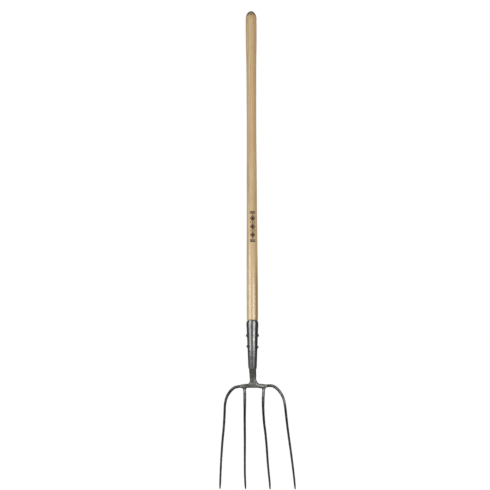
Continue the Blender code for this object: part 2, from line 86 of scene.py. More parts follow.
# ---------------------------------------------------------------- socket, in mm
# the mouth is highest at the angle RIM_TURN, in degrees from +X, and falls by RIM_DROP opposite
RIM_Z, RIM_TURN, RIM_DROP, SOCKET_END = 235.6, -86.0, 6.8, 69.4
# (z, radius)
SOCKET_OUTER = [
    (SOCKET_END, 13.9), (70.8, 14.5), (81.0, 15.05), (94.5, 15.55), (108.0, 16.1), (122.0, 16.5),
    (133.0, 17.0), (152.0, 17.85), (165.0, 18.35), (173.0, 18.68), (192.0, 19.55),
    (205.0, 20.05), (214.0, 20.45), (222.0, 20.85), (227.0, 20.75), (230.0, 20.45),
    (233.0, 19.95), (235.0, 19.58), (RIM_Z, 19.3),
]
SOCKET_INNER = [
    (RIM_Z, 19.1), (235.2, 18.85), (233.5, 18.65), (231.0, 18.5), (205.0, 17.5), (162.0, 15.88),
    (125.0, 14.5), (94.5, 13.4), (78.5, 12.75), (SOCKET_END, 12.45),
]
# (z, half the width of the gap at the rear seam)
SEAM = [(SOCKET_END, 0.13), (92.0, 0.22), (RIM_Z, 1.0)]
# columns as in HANDLE_DENTS
SOCKET_DENTS = [
    (206.0, -2.2, 4.0, 0.22), (158.0, -0.9, 3.0, 0.18), (112.0, 0.8, 4.0, 0.25),
    (190.0, 2.3, 4.5, 0.25), (97.0, -1.9, 3.2, 0.18),
]

# ---------------------------------------------------------------- rivets, in mm
# height, drop of the right head, seed
RIVETS = {"rivet_upper": (181.0, 0.0, 3), "rivet_lower": (143.0, -2.2, 8)}
RIVET_SHANK, RIVET_HEAD, RIVET_HEIGHT = 3.0, 4.9, 3.3
# (share of the head's radius, share of its height) of the hammered left head
HAMMERED_HEAD = [
    (0.05, 1.05), (0.18, 1.04), (0.34, 1.0), (0.5, 0.93), (0.64, 0.82), (0.76, 0.68),
    (0.86, 0.52), (0.93, 0.36), (0.98, 0.2), (1.0, 0.06),
]

# ---------------------------------------------------------------- neck and crossbar, in mm
# (z, radius) of the round tang above the neck, from its top down
TANG = [
    (79.0, 10.9), (78.9, 11.5), (78.5, 11.9), (77.9, 12.1), (74.0, 12.1), (69.7, 12.1),
    (69.3, 12.25),
]
# (z, half width, half depth, centre x, centre y, power of the superellipse)
NECK = [
    (69.1, 12.7, 12.6, 0.0, 0.0, 2.0), (60.0, 12.5, 11.8, 0.2, 0.7, 2.1),
    (53.0, 12.25, 11.0, 0.5, 1.2, 2.2), (46.0, 11.9, 10.2, 0.9, 1.4, 2.4),
    (39.0, 11.5, 9.5, 1.2, 1.2, 2.6), (31.0, 11.1, 8.8, 1.4, 0.8, 2.8),
    (26.0, 11.4, 8.4, 1.5, 0.5, 3.0), (21.0, 12.2, 8.1, 1.6, 0.2, 3.0),
    (17.0, 13.0, 7.8, 1.6, 0.0, 3.0), (14.5, 13.6, 7.5, 1.6, 0.0, 3.0),
]
NECK_FOOT = NECK[-1][0]
# (x, half depth, underside z, top z, corner radius)
CROSSBAR = [
    (-38.4, 5.9, -0.3, 11.1, 3.8), (-36.4, 6.8, -1.1, 12.0, 4.3), (-31.0, 7.3, -1.5, 12.9, 4.4),
    (-24.0, 7.6, -1.5, 13.6, 4.2), (-17.0, 7.8, 0.0, 14.0, 3.6), (17.0, 7.8, 0.0, 14.0, 3.6),
    (24.0, 7.8, -1.0, 14.0, 4.0), (32.0, 7.6, -1.5, 13.6, 4.2), (38.0, 7.4, -1.5, 12.8, 4.4),
    (42.6, 6.8, -1.1, 12.1, 4.2), (44.4, 5.9, -0.2, 11.5, 3.8),
]
BAR_LEFT, BAR_RIGHT = CROSSBAR[0][0], CROSSBAR[-1][0]

# ---------------------------------------------------------------- tines, in mm
# (x, z) of each centre line, seen from the front, from root to point
TINES = {
    "tine_outer_left": [
        (-38.7, 5.5), (-50.0, 4.5), (-63.5, 0.6), (-76.7, -11.0), (-88.2, -29.0),
        (-95.4, -55.0), (-97.4, -92.0), (-100.6, -140.0), (-105.0, -184.0), (-109.4, -244.0),
        (-112.5, -306.0), (-114.2, -347.5),
    ],
    "tine_inner_left": [
        (-28.2, -1.8), (-27.4, -16.0), (-27.5, -54.0), (-27.9, -116.0), (-27.6, -180.0),
        (-28.1, -250.0), (-28.0, -295.0), (-27.1, -323.0), (-25.7, -348.5),
    ],
    "tine_inner_right": [
        (38.2, -1.8), (37.5, -14.0), (36.2, -42.0), (36.1, -70.0), (38.7, -116.0),
        (43.5, -157.0), (47.3, -199.0), (51.4, -261.0), (55.4, -305.0), (57.4, -326.0),
        (58.7, -349.5),
    ],
    "tine_outer_right": [
        (44.7, 5.8), (56.5, 7.3), (70.0, 6.0), (84.0, -2.9), (96.6, -17.8), (106.1, -36.6),
        (111.3, -60.0), (115.6, -98.0), (120.3, -140.0), (125.7, -181.0), (134.0, -243.0),
        (141.0, -303.0), (145.5, -350.0),
    ],
}
# (z, y) of all four centre lines, seen from the side
DISH = [
    (12.0, 0.0), (-4.0, 0.0), (-28.0, 2.4), (-60.0, 6.3), (-100.0, 8.6), (-140.0, 7.2),
    (-180.0, 1.8), (-220.0, -8.0), (-260.0, -22.0), (-300.0, -41.0), (-350.0, -70.0),
]
# (share of the length, half width)
TINE_RADIUS = [
    (0.0, 4.9), (0.12, 4.85), (0.20, 4.32), (0.30, 4.03), (0.45, 3.86), (0.60, 3.7),
    (0.75, 3.52), (0.90, 3.32), (0.950, 3.12), (0.975, 2.75), (0.990, 2.2), (1.0, 1.3),
]
TINE_OVAL = 1.10    # depth over width
# (x, z, half width, half height, amount) of bright patches, partly rubbed steel and partly painted
# highlights of the softboxes on the roots and shoulders; scale stays dark where it is negative
TINE_SHEEN_AND_WEAR = [
    (-28.8, -22.0, 3.4, 14.0, 1.35), (-28.0, -8.0, 6.0, 5.0, 0.85), (37.2, -10.0, 6.0, 9.0, 0.90),
    (36.4, -24.0, 4.0, 7.0, 0.50), (36.2, -40.0, 4.0, 11.0, 0.32), (107.5, -42.0, 5.5, 9.0, 0.95),
    (110.5, -56.0, 3.5, 7.0, 0.62), (-76.0, -16.0, 13.0, 12.0, -0.30),
    (-90.5, -40.0, 3.0, 7.0, 0.35), (97.0, -18.0, 6.0, 7.0, 0.45), (112.5, -44.0, 3.0, 6.0, 0.60),
]
# length along the tine, width at the crossbar, phase of the lumps, their height, seed
TINE_WELDS = {
    "outer_left": (5.2, 1.35, 0.4, 0.12, 300),
    "inner_left": (5.0, 2.9, 1.9, 0.30, 310),
    "inner_right": (5.2, 3.0, 3.1, 0.30, 320),
    "outer_right": (4.2, 1.35, 5.2, 0.12, 330),
}


# ---------------------------------------------------------------- numbers
def hermite(table, column=1):
    """A monotone cubic of a column of the table over its first column, level beyond the ends."""
    rows = sorted(table)
    knots = np.array([row[0] for row in rows], float)
    values = np.array([row[column] for row in rows], float)
    gaps = np.diff(knots)
    slopes = np.diff(values) / gaps
    tangents = np.zeros_like(values)
    tangents[0], tangents[-1] = slopes[0], slopes[-1]
    before, after = slopes[:-1], slopes[1:]
    weight_before = 2 * gaps[1:] + gaps[:-1]
    weight_after = gaps[1:] + 2 * gaps[:-1]
    # level stretches divide by zero, and np.where drops the result
    with np.errstate(divide="ignore", invalid="ignore"):
        mean = (weight_before + weight_after) / (weight_before / before + weight_after / after)
    tangents[1:-1] = np.where(before * after > 0, mean, 0.0)

    def value(x):
        x = np.clip(np.asarray(x, float), knots[0], knots[-1])
        i = np.clip(np.searchsorted(knots, x, side="right") - 1, 0, len(knots) - 2)
        gap = gaps[i]
        part = (x - knots[i]) / gap
        return ((2 * part**3 - 3 * part**2 + 1) * values[i]
                + (part**3 - 2 * part**2 + part) * gap * tangents[i]
                + (3 * part**2 - 2 * part**3) * values[i + 1]
                + (part**3 - part**2) * gap * tangents[i + 1])
    return value


def smooth(start, end, x):
    """A smooth step from 0 at start to 1 at end; start may be the greater."""
    part = np.clip((np.asarray(x, float) - start) / (end - start), 0.0, 1.0)
    return part * part * (3 - 2 * part)


def bell(distance, wide):
    return np.exp(-(distance / wide)**2)


def patch(points, centre_x, centre_z, wide, tall):
    """A bell round a place in the XZ plane."""
    across = (points[:, 0] - centre_x) / wide
    along = (points[:, 2] - centre_z) / tall
    return np.exp(-(across**2 + along**2))


def noise(points, seed=0):
    """Smooth value noise from -1 to 1 at points, (n, 3), with cells one unit wide."""
    points = np.asarray(points, float)
    base = np.floor(points)
    part = points - base
    part = part * part * part * (part * (part * 6 - 15) + 10)
    cell = base.astype(np.int64)
    total = np.zeros(points.shape[:-1])
    for corner in itertools.product((0, 1), repeat=3):
        x, y, z = np.moveaxis(cell + corner, -1, 0)
        # an integer hash of the cell's corner and the seed
        code = (x * 73856093) ^ (y * 19349663) ^ (z * 83492791)
        code = (code + seed * 2654435761) & 0xFFFFFFFF
        code = ((code ^ (code >> 15)) * 2246822519) & 0xFFFFFFFF
        code = ((code ^ (code >> 13)) * 3266489917) & 0xFFFFFFFF
        code = (code ^ (code >> 16)) & 0xFFFFFFFF
        weight = np.where(corner, part, 1 - part).prod(axis=-1)
        total += weight * (code / 4294967295.0 * 2 - 1)
    return total


def fbm(points, octaves=3, seed=0):
    """Noise summed over octaves, each half as high and about half as wide as the last."""
    total, amplitude = 0.0, 1.0
    for i in range(octaves):
        total = total + amplitude * noise(points, seed + 31 * i)
        amplitude *= 0.5
        points = points * 2.03 + 17.3
    return total


def spline(points, samples):
    """Points at shares of the length of a centripetal Catmull-Rom curve, and that length."""
    points = [Vector(point) for point in points]
    points = ([points[0] * 2 - points[1]] + points + [points[-1] * 2 - points[-2]])
    # the knots between which each stage of the pyramid blends its neighbours
    stages = (((0, 1), (1, 2), (2, 3)), ((0, 2), (1, 3)), ((1, 2),))
    fine = []
    for i in range(len(points) - 3):
        corners = points[i:i + 4]
        knots = [0.0]
        for start, end in zip(corners, corners[1:]):
            knots.append(knots[-1] + (end - start).length ** 0.5)
        for j in range(60):
            knot = knots[1] + (knots[2] - knots[1]) * j / 60
            level = corners
            for spans in stages:
                level = [start * ((knots[high] - knot) / (knots[high] - knots[low]))
                         + end * ((knot - knots[low]) / (knots[high] - knots[low]))
                         for start, end, (low, high) in zip(level, level[1:], spans)]
            fine.append(level[0])
    fine.append(points[-2])
    fine = np.array(fine)
    steps = np.linalg.norm(np.diff(fine, axis=0), axis=1)
    length = np.concatenate([[0.0], np.cumsum(steps)])
    wanted = np.asarray(samples, float) * length[-1]
    places = [np.interp(wanted, length, fine[:, axis]) for axis in range(3)]
    return np.stack(places, axis=1), length[-1]


def circle(steps):
    """Angles once round."""
    return np.arange(steps) / steps * 2 * math.pi


# ---------------------------------------------------------------- meshes
def skin(rings, ends=True, cap_steps=4):
    """(vertices, faces) of a skin over rings of points, (rings, round, 3). With ends the two ends
    are closed with shrinking rings; without, the last ring joins the first."""
    rings = np.asarray(rings, float)
    if ends:
        def cap(ring):
            hub = ring.mean(axis=0)
            return [hub + (ring - hub) * (1 - k / cap_steps) for k in range(cap_steps - 1, 0, -1)]
        rings = np.array(cap(rings[0]) + list(rings) + cap(rings[-1])[::-1])
    count, around = rings.shape[:2]
    i = np.arange(count - 1 if ends else count)[:, None]
    j = np.arange(around)[None, :]
    this, following = i * around, ((i + 1) % count) * around
    beside = (j + 1) % around
    corners = [this + j, this + beside, following + beside, following + j]
    faces = np.stack(corners, axis=-1).reshape(-1, 4).tolist()
    verts = rings.reshape(-1, 3)
    if ends:
        hub = len(verts)
        hubs = [rings[0].mean(axis=0)[None], rings[-1].mean(axis=0)[None]]
        verts = np.concatenate([verts, *hubs])
        last = (count - 1) * around
        for k in range(around):
            faces.append([(k + 1) % around, k, hub])
            faces.append([last + k, last + (k + 1) % around, hub + 1])
    return verts, faces


def make(name, verts, faces):
    """An object from points in mm, its faces turned outwards."""
    verts = np.asarray(verts, float)
    middle = verts.mean(axis=0)
    volume = 0.0
    for size in (3, 4):
        group = np.array([face for face in faces if len(face) == size], int).reshape(-1, size)
        for k in range(1, size - 1):
            first, second, third = (verts[group[:, i]] - middle for i in (0, k, k + 1))
            volume += np.einsum("ij,ij->", first, np.cross(second, third))
    if volume < 0:
        faces = [face[::-1] for face in faces]
    mesh = bpy.data.meshes.new(name)
    mesh.from_pydata((verts * MM).tolist(), [], faces)
    mesh.update()
    mesh.shade_smooth()
    obj = bpy.data.objects.new(name, mesh)
    bpy.context.scene.collection.objects.link(obj)
    return obj


def turn_outwards(obj):
    """Turns all faces of a closed mesh outwards."""
    shell = bmesh.new()
    shell.from_mesh(obj.data)
    bmesh.ops.recalc_face_normals(shell, faces=shell.faces)
    shell.to_mesh(obj.data)
    shell.free()
    obj.data.update()


def read_vertices(obj, name):
    values = np.zeros(len(obj.data.vertices) * 3, np.float32)
    obj.data.vertices.foreach_get(name, values)
    return values.reshape(-1, 3)


def points_of(obj):
    """The vertices of obj in mm."""
    return read_vertices(obj, "co").astype(float) / MM


def displace(obj, height):
    """Moves each vertex along its normal by height(points in mm), in mm."""
    points = points_of(obj)
    points = points + read_vertices(obj, "normal") * np.asarray(height(points))[:, None]
    obj.data.vertices.foreach_set("co", (points * MM).astype(np.float32).ravel())
    obj.data.update()


def set_attribute(obj, name, values):
    layer = obj.data.attributes.new(name, "FLOAT", "POINT")
    layer.data.foreach_set("value", np.asarray(values, np.float32))


def set_wear_and_sheen(obj, wear_and_sheen):
    """How bright the metal is, from 0 to 1: rubbed or ground steel, and in places painted highlights.
    """
    set_attribute(obj, "wear_and_sheen", np.clip(wear_and_sheen, 0, 1))


def drill_rivet_holes(obj, play):
    """Cuts the rivets' holes along X through obj, wider in radius than the shanks by play."""
    radius = RIVET_SHANK + play
    angles = circle(48) + 0.01    # turned a little, so that the two meshes' edges don't coincide
    for height, _, _ in RIVETS.values():
        rings = [np.stack([np.full(48, x), radius * np.cos(angles),
                           height + radius * np.sin(angles)], axis=1) for x in (-32.0, 32.0)]
        tool = make("drill", *skin(rings, cap_steps=1))
        hole = obj.modifiers.new("hole", "BOOLEAN")
        hole.operation = "DIFFERENCE"
        hole.solver = "EXACT"
        hole.object = tool
        graph = bpy.context.evaluated_depsgraph_get()
        cut = bpy.data.meshes.new_from_object(obj.evaluated_get(graph), depsgraph=graph)
        obj.modifiers.clear()
        old, obj.data = obj.data, cut
        bpy.data.meshes.remove(old)
        bpy.data.objects.remove(tool, do_unlink=True)


def dents(points, table, radius_at, stretch=1.0):
    """Depth of the dents in a round piece, each longer along Z than round by stretch."""
    x, y, z = points.T
    depth = 0.0
    for height, angle, wide, deep in table:
        radius = radius_at(height)
        far = np.sqrt((x - radius * math.cos(angle))**2 + (y - radius * math.sin(angle))**2
                      + ((z - height) / stretch)**2)
        depth = depth + deep * bell(far, wide)
    return depth


def finish(obj, node, material, sharp=50.0):
    """Gives a piece its material and sharp edges, and puts it in the place of a CAD node."""
    obj.data.materials.clear()
    obj.data.materials.append(material)
    obj.data.set_sharp_from_angle(angle=math.radians(sharp))
    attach(obj, "root")
    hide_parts(node)


# ---------------------------------------------------------------- shader building
class Value:
    """A shader output that can be calculated with; each operator adds a Math node."""

    def __init__(self, graph, socket):
        self.graph = graph
        self.socket = socket

    def __add__(self, other):
        return self.graph.math("ADD", self, other)

    def __radd__(self, other):
        return self.graph.math("ADD", other, self)

    def __sub__(self, other):
        return self.graph.math("SUBTRACT", self, other)

    def __rsub__(self, other):
        return self.graph.math("SUBTRACT", other, self)

    def __mul__(self, other):
        return self.graph.math("MULTIPLY", self, other)

    def ramp(self, start, end, low=0.0, high=1.0):
        """Goes smoothly from low, where the value is start, to high, where it is end."""
        inputs = {"Value": self, "From Min": start, "From Max": end, "To Min": low, "To Max": high}
        return self.graph.output(0, "ShaderNodeMapRange", inputs, interpolation_type="SMOOTHSTEP")


class Graph:
    """Short names for the nodes of a shader tree."""

    spare = ()    # what a Math node is given in its unused third input

    def __init__(self, tree):
        self.tree = tree

    def put(self, value, socket):
        if isinstance(value, Value):
            self.tree.links.new(value.socket, socket)
        elif socket.type == "RGBA":
            socket.default_value = (*value, 1.0)
        else:
            socket.default_value = value

    def add(self, kind, inputs=(), **settings):
        node = self.tree.nodes.new(kind)
        for name, value in settings.items():
            setattr(node, name, value)
        for name, value in dict(inputs).items():
            self.put(value, node.inputs[name])
        return node

    def output(self, which, kind, inputs=(), **settings):
        return Value(self, self.add(kind, inputs, **settings).outputs[which])

    def coordinates(self, kind):
        """The texture coordinates of a kind, and their x, y and z."""
        place = self.output(kind, "ShaderNodeTexCoord")
        split = self.add("ShaderNodeSeparateXYZ", {0: place})
        return place, *(Value(self, socket) for socket in split.outputs)

    def math(self, operation, first, second=0.0, clamp=False):
        inputs = enumerate((first, second, *self.spare))
        return self.output(0, "ShaderNodeMath", inputs, operation=operation, use_clamp=clamp)


class Material(Graph):
    """The graph of a Principled material, in the object's coordinates."""

    spare = (0.0,)

    def __init__(self, name):
        self.material = bpy.data.materials.new(name)
        self.material.use_nodes = True
        super().__init__(self.material.node_tree)
        self.bsdf = self.tree.nodes["Principled BSDF"]
        self.place, self.x, self.y, self.z = self.coordinates("Object")

    def scaled(self, scale, offset=(0, 0, 0), rotation=(0, 0, 0)):
        inputs = {"Vector": self.place, "Scale": scale, "Location": offset, "Rotation": rotation}
        return self.output(0, "ShaderNodeMapping", inputs)

    def noise(self, scale, detail=3.0, rough=0.5, **mapping):
        """Noise with about scale cells to the metre along x, y and z."""
        inputs = {"Vector": self.scaled(scale, **mapping), "Scale": 1.0, "Detail": detail,
                  "Roughness": rough}
        return self.output("Fac", "ShaderNodeTexNoise", inputs)

    def voronoi(self, scale):
        inputs = {"Vector": self.scaled(scale), "Scale": 1.0}
        return self.output("Distance", "ShaderNodeTexVoronoi", inputs)

    def mix(self, factor, first, second):
        # 6 and 7 are a Mix node's colour inputs, 2 is its colour output
        return self.output(2, "ShaderNodeMix", {0: factor, 6: first, 7: second}, data_type="RGBA")

    def stain(self, colour, mask, share, tint):
        """Tints the colour by a share where the mask is 1."""
        return self.mix(mask * share, colour, tint)

    def attribute(self, name):
        return self.output("Fac", "ShaderNodeAttribute", attribute_name=name)

    def bump(self, height, distance, strength):
        inputs = {"Height": height, "Distance": distance, "Strength": strength}
        return self.output("Normal", "ShaderNodeBump", inputs)

    def surface(self, **values):
        for name, value in values.items():
            self.put(value, self.bsdf.inputs[name.replace("_", " ")])


def srgb(*display):
    """Linear colour from 8-bit display values."""
    return tuple(((c / 255 + 0.055) / 1.055) ** 2.4 if c > 10 else c / 255 / 12.92
                 for c in display)


def dimmed(colour, share):
    return tuple(channel * share for channel in colour)


# ---------------------------------------------------------------- ash, in metres
RING_WIDTH = 0.0031
# (x, y, z, radius round, radius along), tint, share: a small knot near the top, and other spots
WOOD_SPOTS = [
    ((0.0092, -0.0165, 1.2610, 0.0046, 0.0046), srgb(140, 106, 66), 0.55),
    ((-0.0002, -0.014, 1.2900, 0.0062, 0.0036), srgb(150, 100, 46), 0.85),
    ((-0.0060, -0.016, 0.3330, 0.0030, 0.0075), srgb(168, 130, 86), 0.55),
    ((0.0105, 0.0150, 0.8050, 0.0052, 0.0085), srgb(112, 80, 48), 0.75),
    ((-0.0150, 0.0080, 0.9900, 0.0028, 0.0050), srgb(132, 98, 62), 0.55),
]


def growth_rings(mat):
    """Masks of the late and the early wood, in rings round a line that leans across the shaft."""
    sway = (mat.noise(scale=(6, 6, 1.3), detail=2) - 0.5) * 0.012
    from_x = mat.x - 0.047 + mat.z * 0.011 + sway
    from_y = mat.y - 0.028 - mat.z * 0.006
    distance = mat.math("SQRT", from_x * from_x + from_y * from_y)
    wobble = (mat.noise(scale=(60, 60, 5)) - 0.5) * 0.6
    ring = mat.math("FRACT", distance * (1 / RING_WIDTH) + wobble)
    return ring.ramp(0.55, 0.98), 1.0 - ring.ramp(0.0, 0.30)


def wood_sides(mat, colour, fibre):
    """Paler wood towards the socket, a painted light of the low softboxes; warmer wood on the right;
    low down there a dark streak, partly heartwood and partly painted shade.
    """
    # painted light: the wood is painted paler low down, as if lit more strongly there
    low = mat.z.ramp(0.66, 0.30)
    colour = mat.stain(colour, low, share=0.42, tint=srgb(203, 184, 140))
    right = mat.x.ramp(0.001, 0.015)
    colour = mat.stain(colour, right, share=0.42, tint=srgb(178, 142, 86))
    ragged_x = mat.x + (fibre - 0.5) * 0.004
    # low on the right a darker band and streak: partly heartwood, partly painted shade on the side
    # away from the light
    heartwood_and_shade = ragged_x.ramp(0.0055, 0.0105) * mat.z.ramp(0.48, 0.34)
    colour = mat.stain(colour, heartwood_and_shade, share=0.55, tint=srgb(164, 117, 62))
    streak_and_shade = ragged_x.ramp(0.0122, 0.0162) * mat.z.ramp(0.47, 0.33)
    return mat.stain(colour, streak_and_shade, share=0.68, tint=srgb(130, 92, 54))


def wood_spots(mat, colour):
    ragged = (mat.noise(scale=(420, 420, 210), offset=(5, 5, 1)) - 0.5) * 0.9
    for (x, y, z, wide, tall), tint, share in WOOD_SPOTS:
        from_x = mat.x - x
        from_y = mat.y - y
        from_z = mat.z - z
        level = (from_x * from_x + from_y * from_y) * (1 / wide**2)
        far = mat.math("SQRT", level + from_z * from_z * (1 / tall**2))
        spot = 1.0 - (far + ragged).ramp(0.30, 1.0)
        colour = mat.stain(colour, spot, share, tint)
    return colour


def wood_dirt(mat, colour):
    """Painted shade on the end grain at the dome's top, darkest towards its sides, a faint brown band
    round its shoulder, and handling dirt at the socket's mouth.
    """
    blotch = mat.noise(scale=(160, 160, 160))
    # painted shade: the dome's top darkens upwards and towards its sides, where no light falls from
    # above
    rise = mat.z + mat.math("ABSOLUTE", mat.x) * 0.55 + (blotch - 0.5) * 0.006
    dome_top_shade = rise.ramp(1.2890, 1.2992)
    colour = mat.stain(colour, dome_top_shade, share=0.85, tint=srgb(84, 78, 66))
    shoulder = mat.z.ramp(1.262, 1.288)
    colour = mat.stain(colour, shoulder, share=0.16, tint=srgb(150, 122, 84))
    mouth = mat.z.ramp(0.2400, 0.2310) * blotch.ramp(0.30, 0.62)
    return mat.stain(colour, mouth, share=0.24, tint=srgb(110, 78, 48))


def ash_material():
    """Varnished ash: growth rings, rows of open pores, warm and pale stripes, stains, painted light
    and shade, and a burn.
    """
    mat = Material("varnished_ash")
    late, early = growth_rings(mat)
    fibre = mat.noise(scale=(900, 900, 22), detail=4, rough=0.65)
    fine_fibre = mat.noise(scale=(2600, 2600, 60), offset=(3, 1, 0), detail=2, rough=0.6)
    pores = mat.noise(scale=(1500, 1500, 34), offset=(7, 2, 5), detail=1.5, rough=0.4)
    pores = pores.ramp(0.575, 0.675) * (early * 0.85 + 0.15)
    stripe = mat.noise(scale=(62, 62, 1.1), offset=(2, 9, 1), detail=2.5, rough=0.55)
    broad = mat.noise(scale=(24, 24, 3.2), offset=(1, 4, 8), detail=2)

    pale, warm, honey = srgb(216, 197, 156), srgb(207, 174, 129), srgb(190, 158, 112)
    colour = mat.mix(stripe.ramp(0.36, 0.64), pale, warm)
    colour = mat.stain(colour, broad.ramp(0.42, 0.74), share=0.55, tint=honey)
    colour = mat.stain(colour, late, share=0.60, tint=srgb(178, 142, 98))
    colour = mat.stain(colour, fibre.ramp(0.48, 0.78), share=0.46, tint=srgb(172, 139, 96))
    colour = mat.stain(colour, fine_fibre.ramp(0.50, 0.78), share=0.34, tint=srgb(226, 209, 172))
    colour = mat.stain(colour, pores, share=0.78, tint=srgb(112, 84, 54))
    colour = wood_sides(mat, colour, fibre)
    colour = wood_spots(mat, colour)
    colour = wood_dirt(mat, colour)

    # the burnt ornament: char in the groove, a scorched edge round it
    mark = mat.attribute("mark") + (fine_fibre - 0.5) * 0.25
    burn = mark.ramp(0.22, -0.30)
    scorch = mark.ramp(1.9, 0.1)
    colour = mat.stain(colour, scorch, share=0.55, tint=srgb(146, 112, 70))
    char_mottle = mat.noise(scale=(420, 420, 160), detail=4).ramp(0.38, 0.66)
    char = mat.mix(char_mottle, srgb(26, 18, 9), srgb(60, 44, 26))
    colour = mat.mix(burn, colour, char)

    rough = 0.36 + (mat.noise(scale=(45, 45, 12), detail=4) - 0.5) * 0.22 + burn * 0.30
    height = fibre * 0.55 - pores * 1.0 - early * 0.22
    mat.surface(
        Base_Color=colour,
        Roughness=rough,
        Normal=mat.bump(height, distance=0.00012, strength=0.55),
        IOR=1.45,
        # the varnish fills part of the grain, and is burnt away in the ornament
        Coat_Weight=(1.0 - burn * 0.7) * 0.63,
        Coat_Roughness=0.24,
        Coat_IOR=1.5,
        Coat_Normal=mat.bump(height, distance=0.00012, strength=0.18),
    )
    return mat.material


# ---------------------------------------------------------------- steel
def steel_material(name, *, dark, light, worn_and_sheen, roughness, bump, metallic=0.75,
                   grain=(1.0, 1.0, 1.0), warm=0.35, rust=0.0, heat_and_shade_fade=None, coat=0.22):
    """Steel under a thin dark lacquer: mottled mill scale, fine pitting, draw marks and scratches,
    brighter where a mesh attribute marks it rubbed or ground, and where that attribute paints
    highlights.

    dark and light are colours, and so is the colour of rubbed steel and of painted highlights;
    roughness is its range; bump is a height in metres; grain squeezes the mottling along x, y and z;
    warm and rust are shares of brownish tints; the heat fade holds the heights where darker scale
    from the heat of the welds starts and is full, and on the socket that darkening is partly painted
    shade."""
    mat = Material(name)

    def mottle(scale, **settings):
        return mat.noise(scale=tuple(scale * axis for axis in grain), **settings)

    cloud = mottle(70, detail=5, rough=0.62)
    fleck = mottle(190, offset=(4, 2, 9), detail=4, rough=0.6)
    draw = mottle(700, offset=(1, 5, 3), rough=0.6)
    sparse = mat.noise(scale=(120, 120, 120), offset=(3, 7, 1), detail=4, rough=0.7)
    fine_pits = mat.voronoi(scale=(640, 640, 460)).ramp(0.06, 0.34)
    # 0 in a pit, 1 on the level
    level = mat.math("MAXIMUM", fine_pits, sparse.ramp(0.62, 0.50))
    scratches = mat.noise(scale=(1900, 1900, 110), rotation=(0.25, 0.30, 0.2), detail=1.5)
    scratches = scratches.ramp(0.66, 0.74)
    # rubbed steel, and painted highlights where the mask marks them
    rubbed_and_sheen = mat.math("MULTIPLY", mat.attribute("wear_and_sheen"), fleck.ramp(0.22, 0.62), clamp=True)

    colour = mat.mix(cloud.ramp(0.34, 0.68), dark, light)
    colour = mat.stain(colour, fleck.ramp(0.50, 0.74), share=0.35, tint=dimmed(dark, 0.62))
    tarnish = mat.noise(scale=(34, 34, 34), offset=(6, 6, 2)).ramp(0.44, 0.70)
    warm_light = tuple(c * share for c, share in zip(light, (1.02, 0.97, 0.80)))
    colour = mat.stain(colour, tarnish, share=warm, tint=warm_light)
    colour = mat.stain(colour, 1.0 - level, share=0.30, tint=dimmed(dark, 0.45))
    colour = mat.stain(colour, scratches, share=0.14, tint=worn_and_sheen)
    colour = mat.mix(rubbed_and_sheen, colour, worn_and_sheen)
    if rust:
        spots = mat.noise(scale=(260, 260, 260), offset=(2, 8, 8), detail=5, rough=0.7)
        colour = mat.stain(colour, spots.ramp(0.62, 0.72), share=rust, tint=srgb(112, 74, 46))
    rough = (cloud * 0.6 + draw * 0.4).ramp(0.32, 0.66, *roughness)
    # darker, duller scale near the welds; on the socket's lower end the darkening is partly painted
    # shade where the softboxes' reflections fade
    if heat_and_shade_fade:
        heat_and_shade = (mat.z + (fleck - 0.5) * 0.012).ramp(*heat_and_shade_fade)
        colour = mat.stain(colour, heat_and_shade, share=0.55, tint=dimmed(dark, 0.72))
        rough = rough + heat_and_shade * 0.22
    height = (cloud * 0.9 + draw * 0.45) + (level * 0.35 + scratches * -0.15)
    mat.surface(
        Base_Color=colour,
        Roughness=rough - rubbed_and_sheen * 0.06,
        Metallic=metallic,
        Normal=mat.bump(height, distance=bump, strength=0.8),
        Coat_Weight=coat,
        Coat_Roughness=0.30,
    )
    return mat.material


# ---------------------------------------------------------------- handle
def ornament(along, across):
    """Signed distance in mm, negative inside: three solid lozenges, each with a fine line left
    standing inside its edge, pairs of dots between them and two bars at each end."""
    shapes = []
    for centre in (-28.5, 0.0, 28.5):
        # half length and half width, then the factor that makes the result a distance
        lozenge = (np.abs(along - centre) / 13.6 + np.abs(across) / 8.7 - 1.0) * 7.3
        shapes.append(np.maximum(lozenge, 0.55 - np.abs(lozenge + 2.2)))
    for centre, half_height in ((-50.4, 2.3), (50.4, 2.3), (-45.0, 1.1), (45.0, 1.1)):
        half_width, corner = 8.5, 0.5
        outside = np.stack([np.abs(along - centre) - half_height + corner,
                            np.abs(across) - half_width + corner])
        shapes.append(np.linalg.norm(np.maximum(outside, 0), axis=0)
                      + np.minimum(outside.max(axis=0), 0) - corner)
    for centre in (-14.25, 14.25):
        for side in (-1, 1):
            shapes.append(np.hypot(along - centre, across - side * 6.0) - 2.0)
    return np.min(shapes, axis=0)


def mark_distance(points):
    """Distance to the ornament on the handle, for points in mm."""
    x, y, z = points.T
    across = (np.arctan2(x, -y) - math.radians(MARK_TURN)) * MARK_RADIUS
    distance = ornament(z - (MARK_LOW + MARK_HIGH) / 2, across)
    # a hand-held iron prints a little unevenly
    return distance + 0.22 * noise(points / 3.4, 5) + 0.10 * noise(points / 1.6, 6)


def near_mark(z, margin):
    return (z > MARK_LOW - margin) & (z < MARK_HIGH + margin)


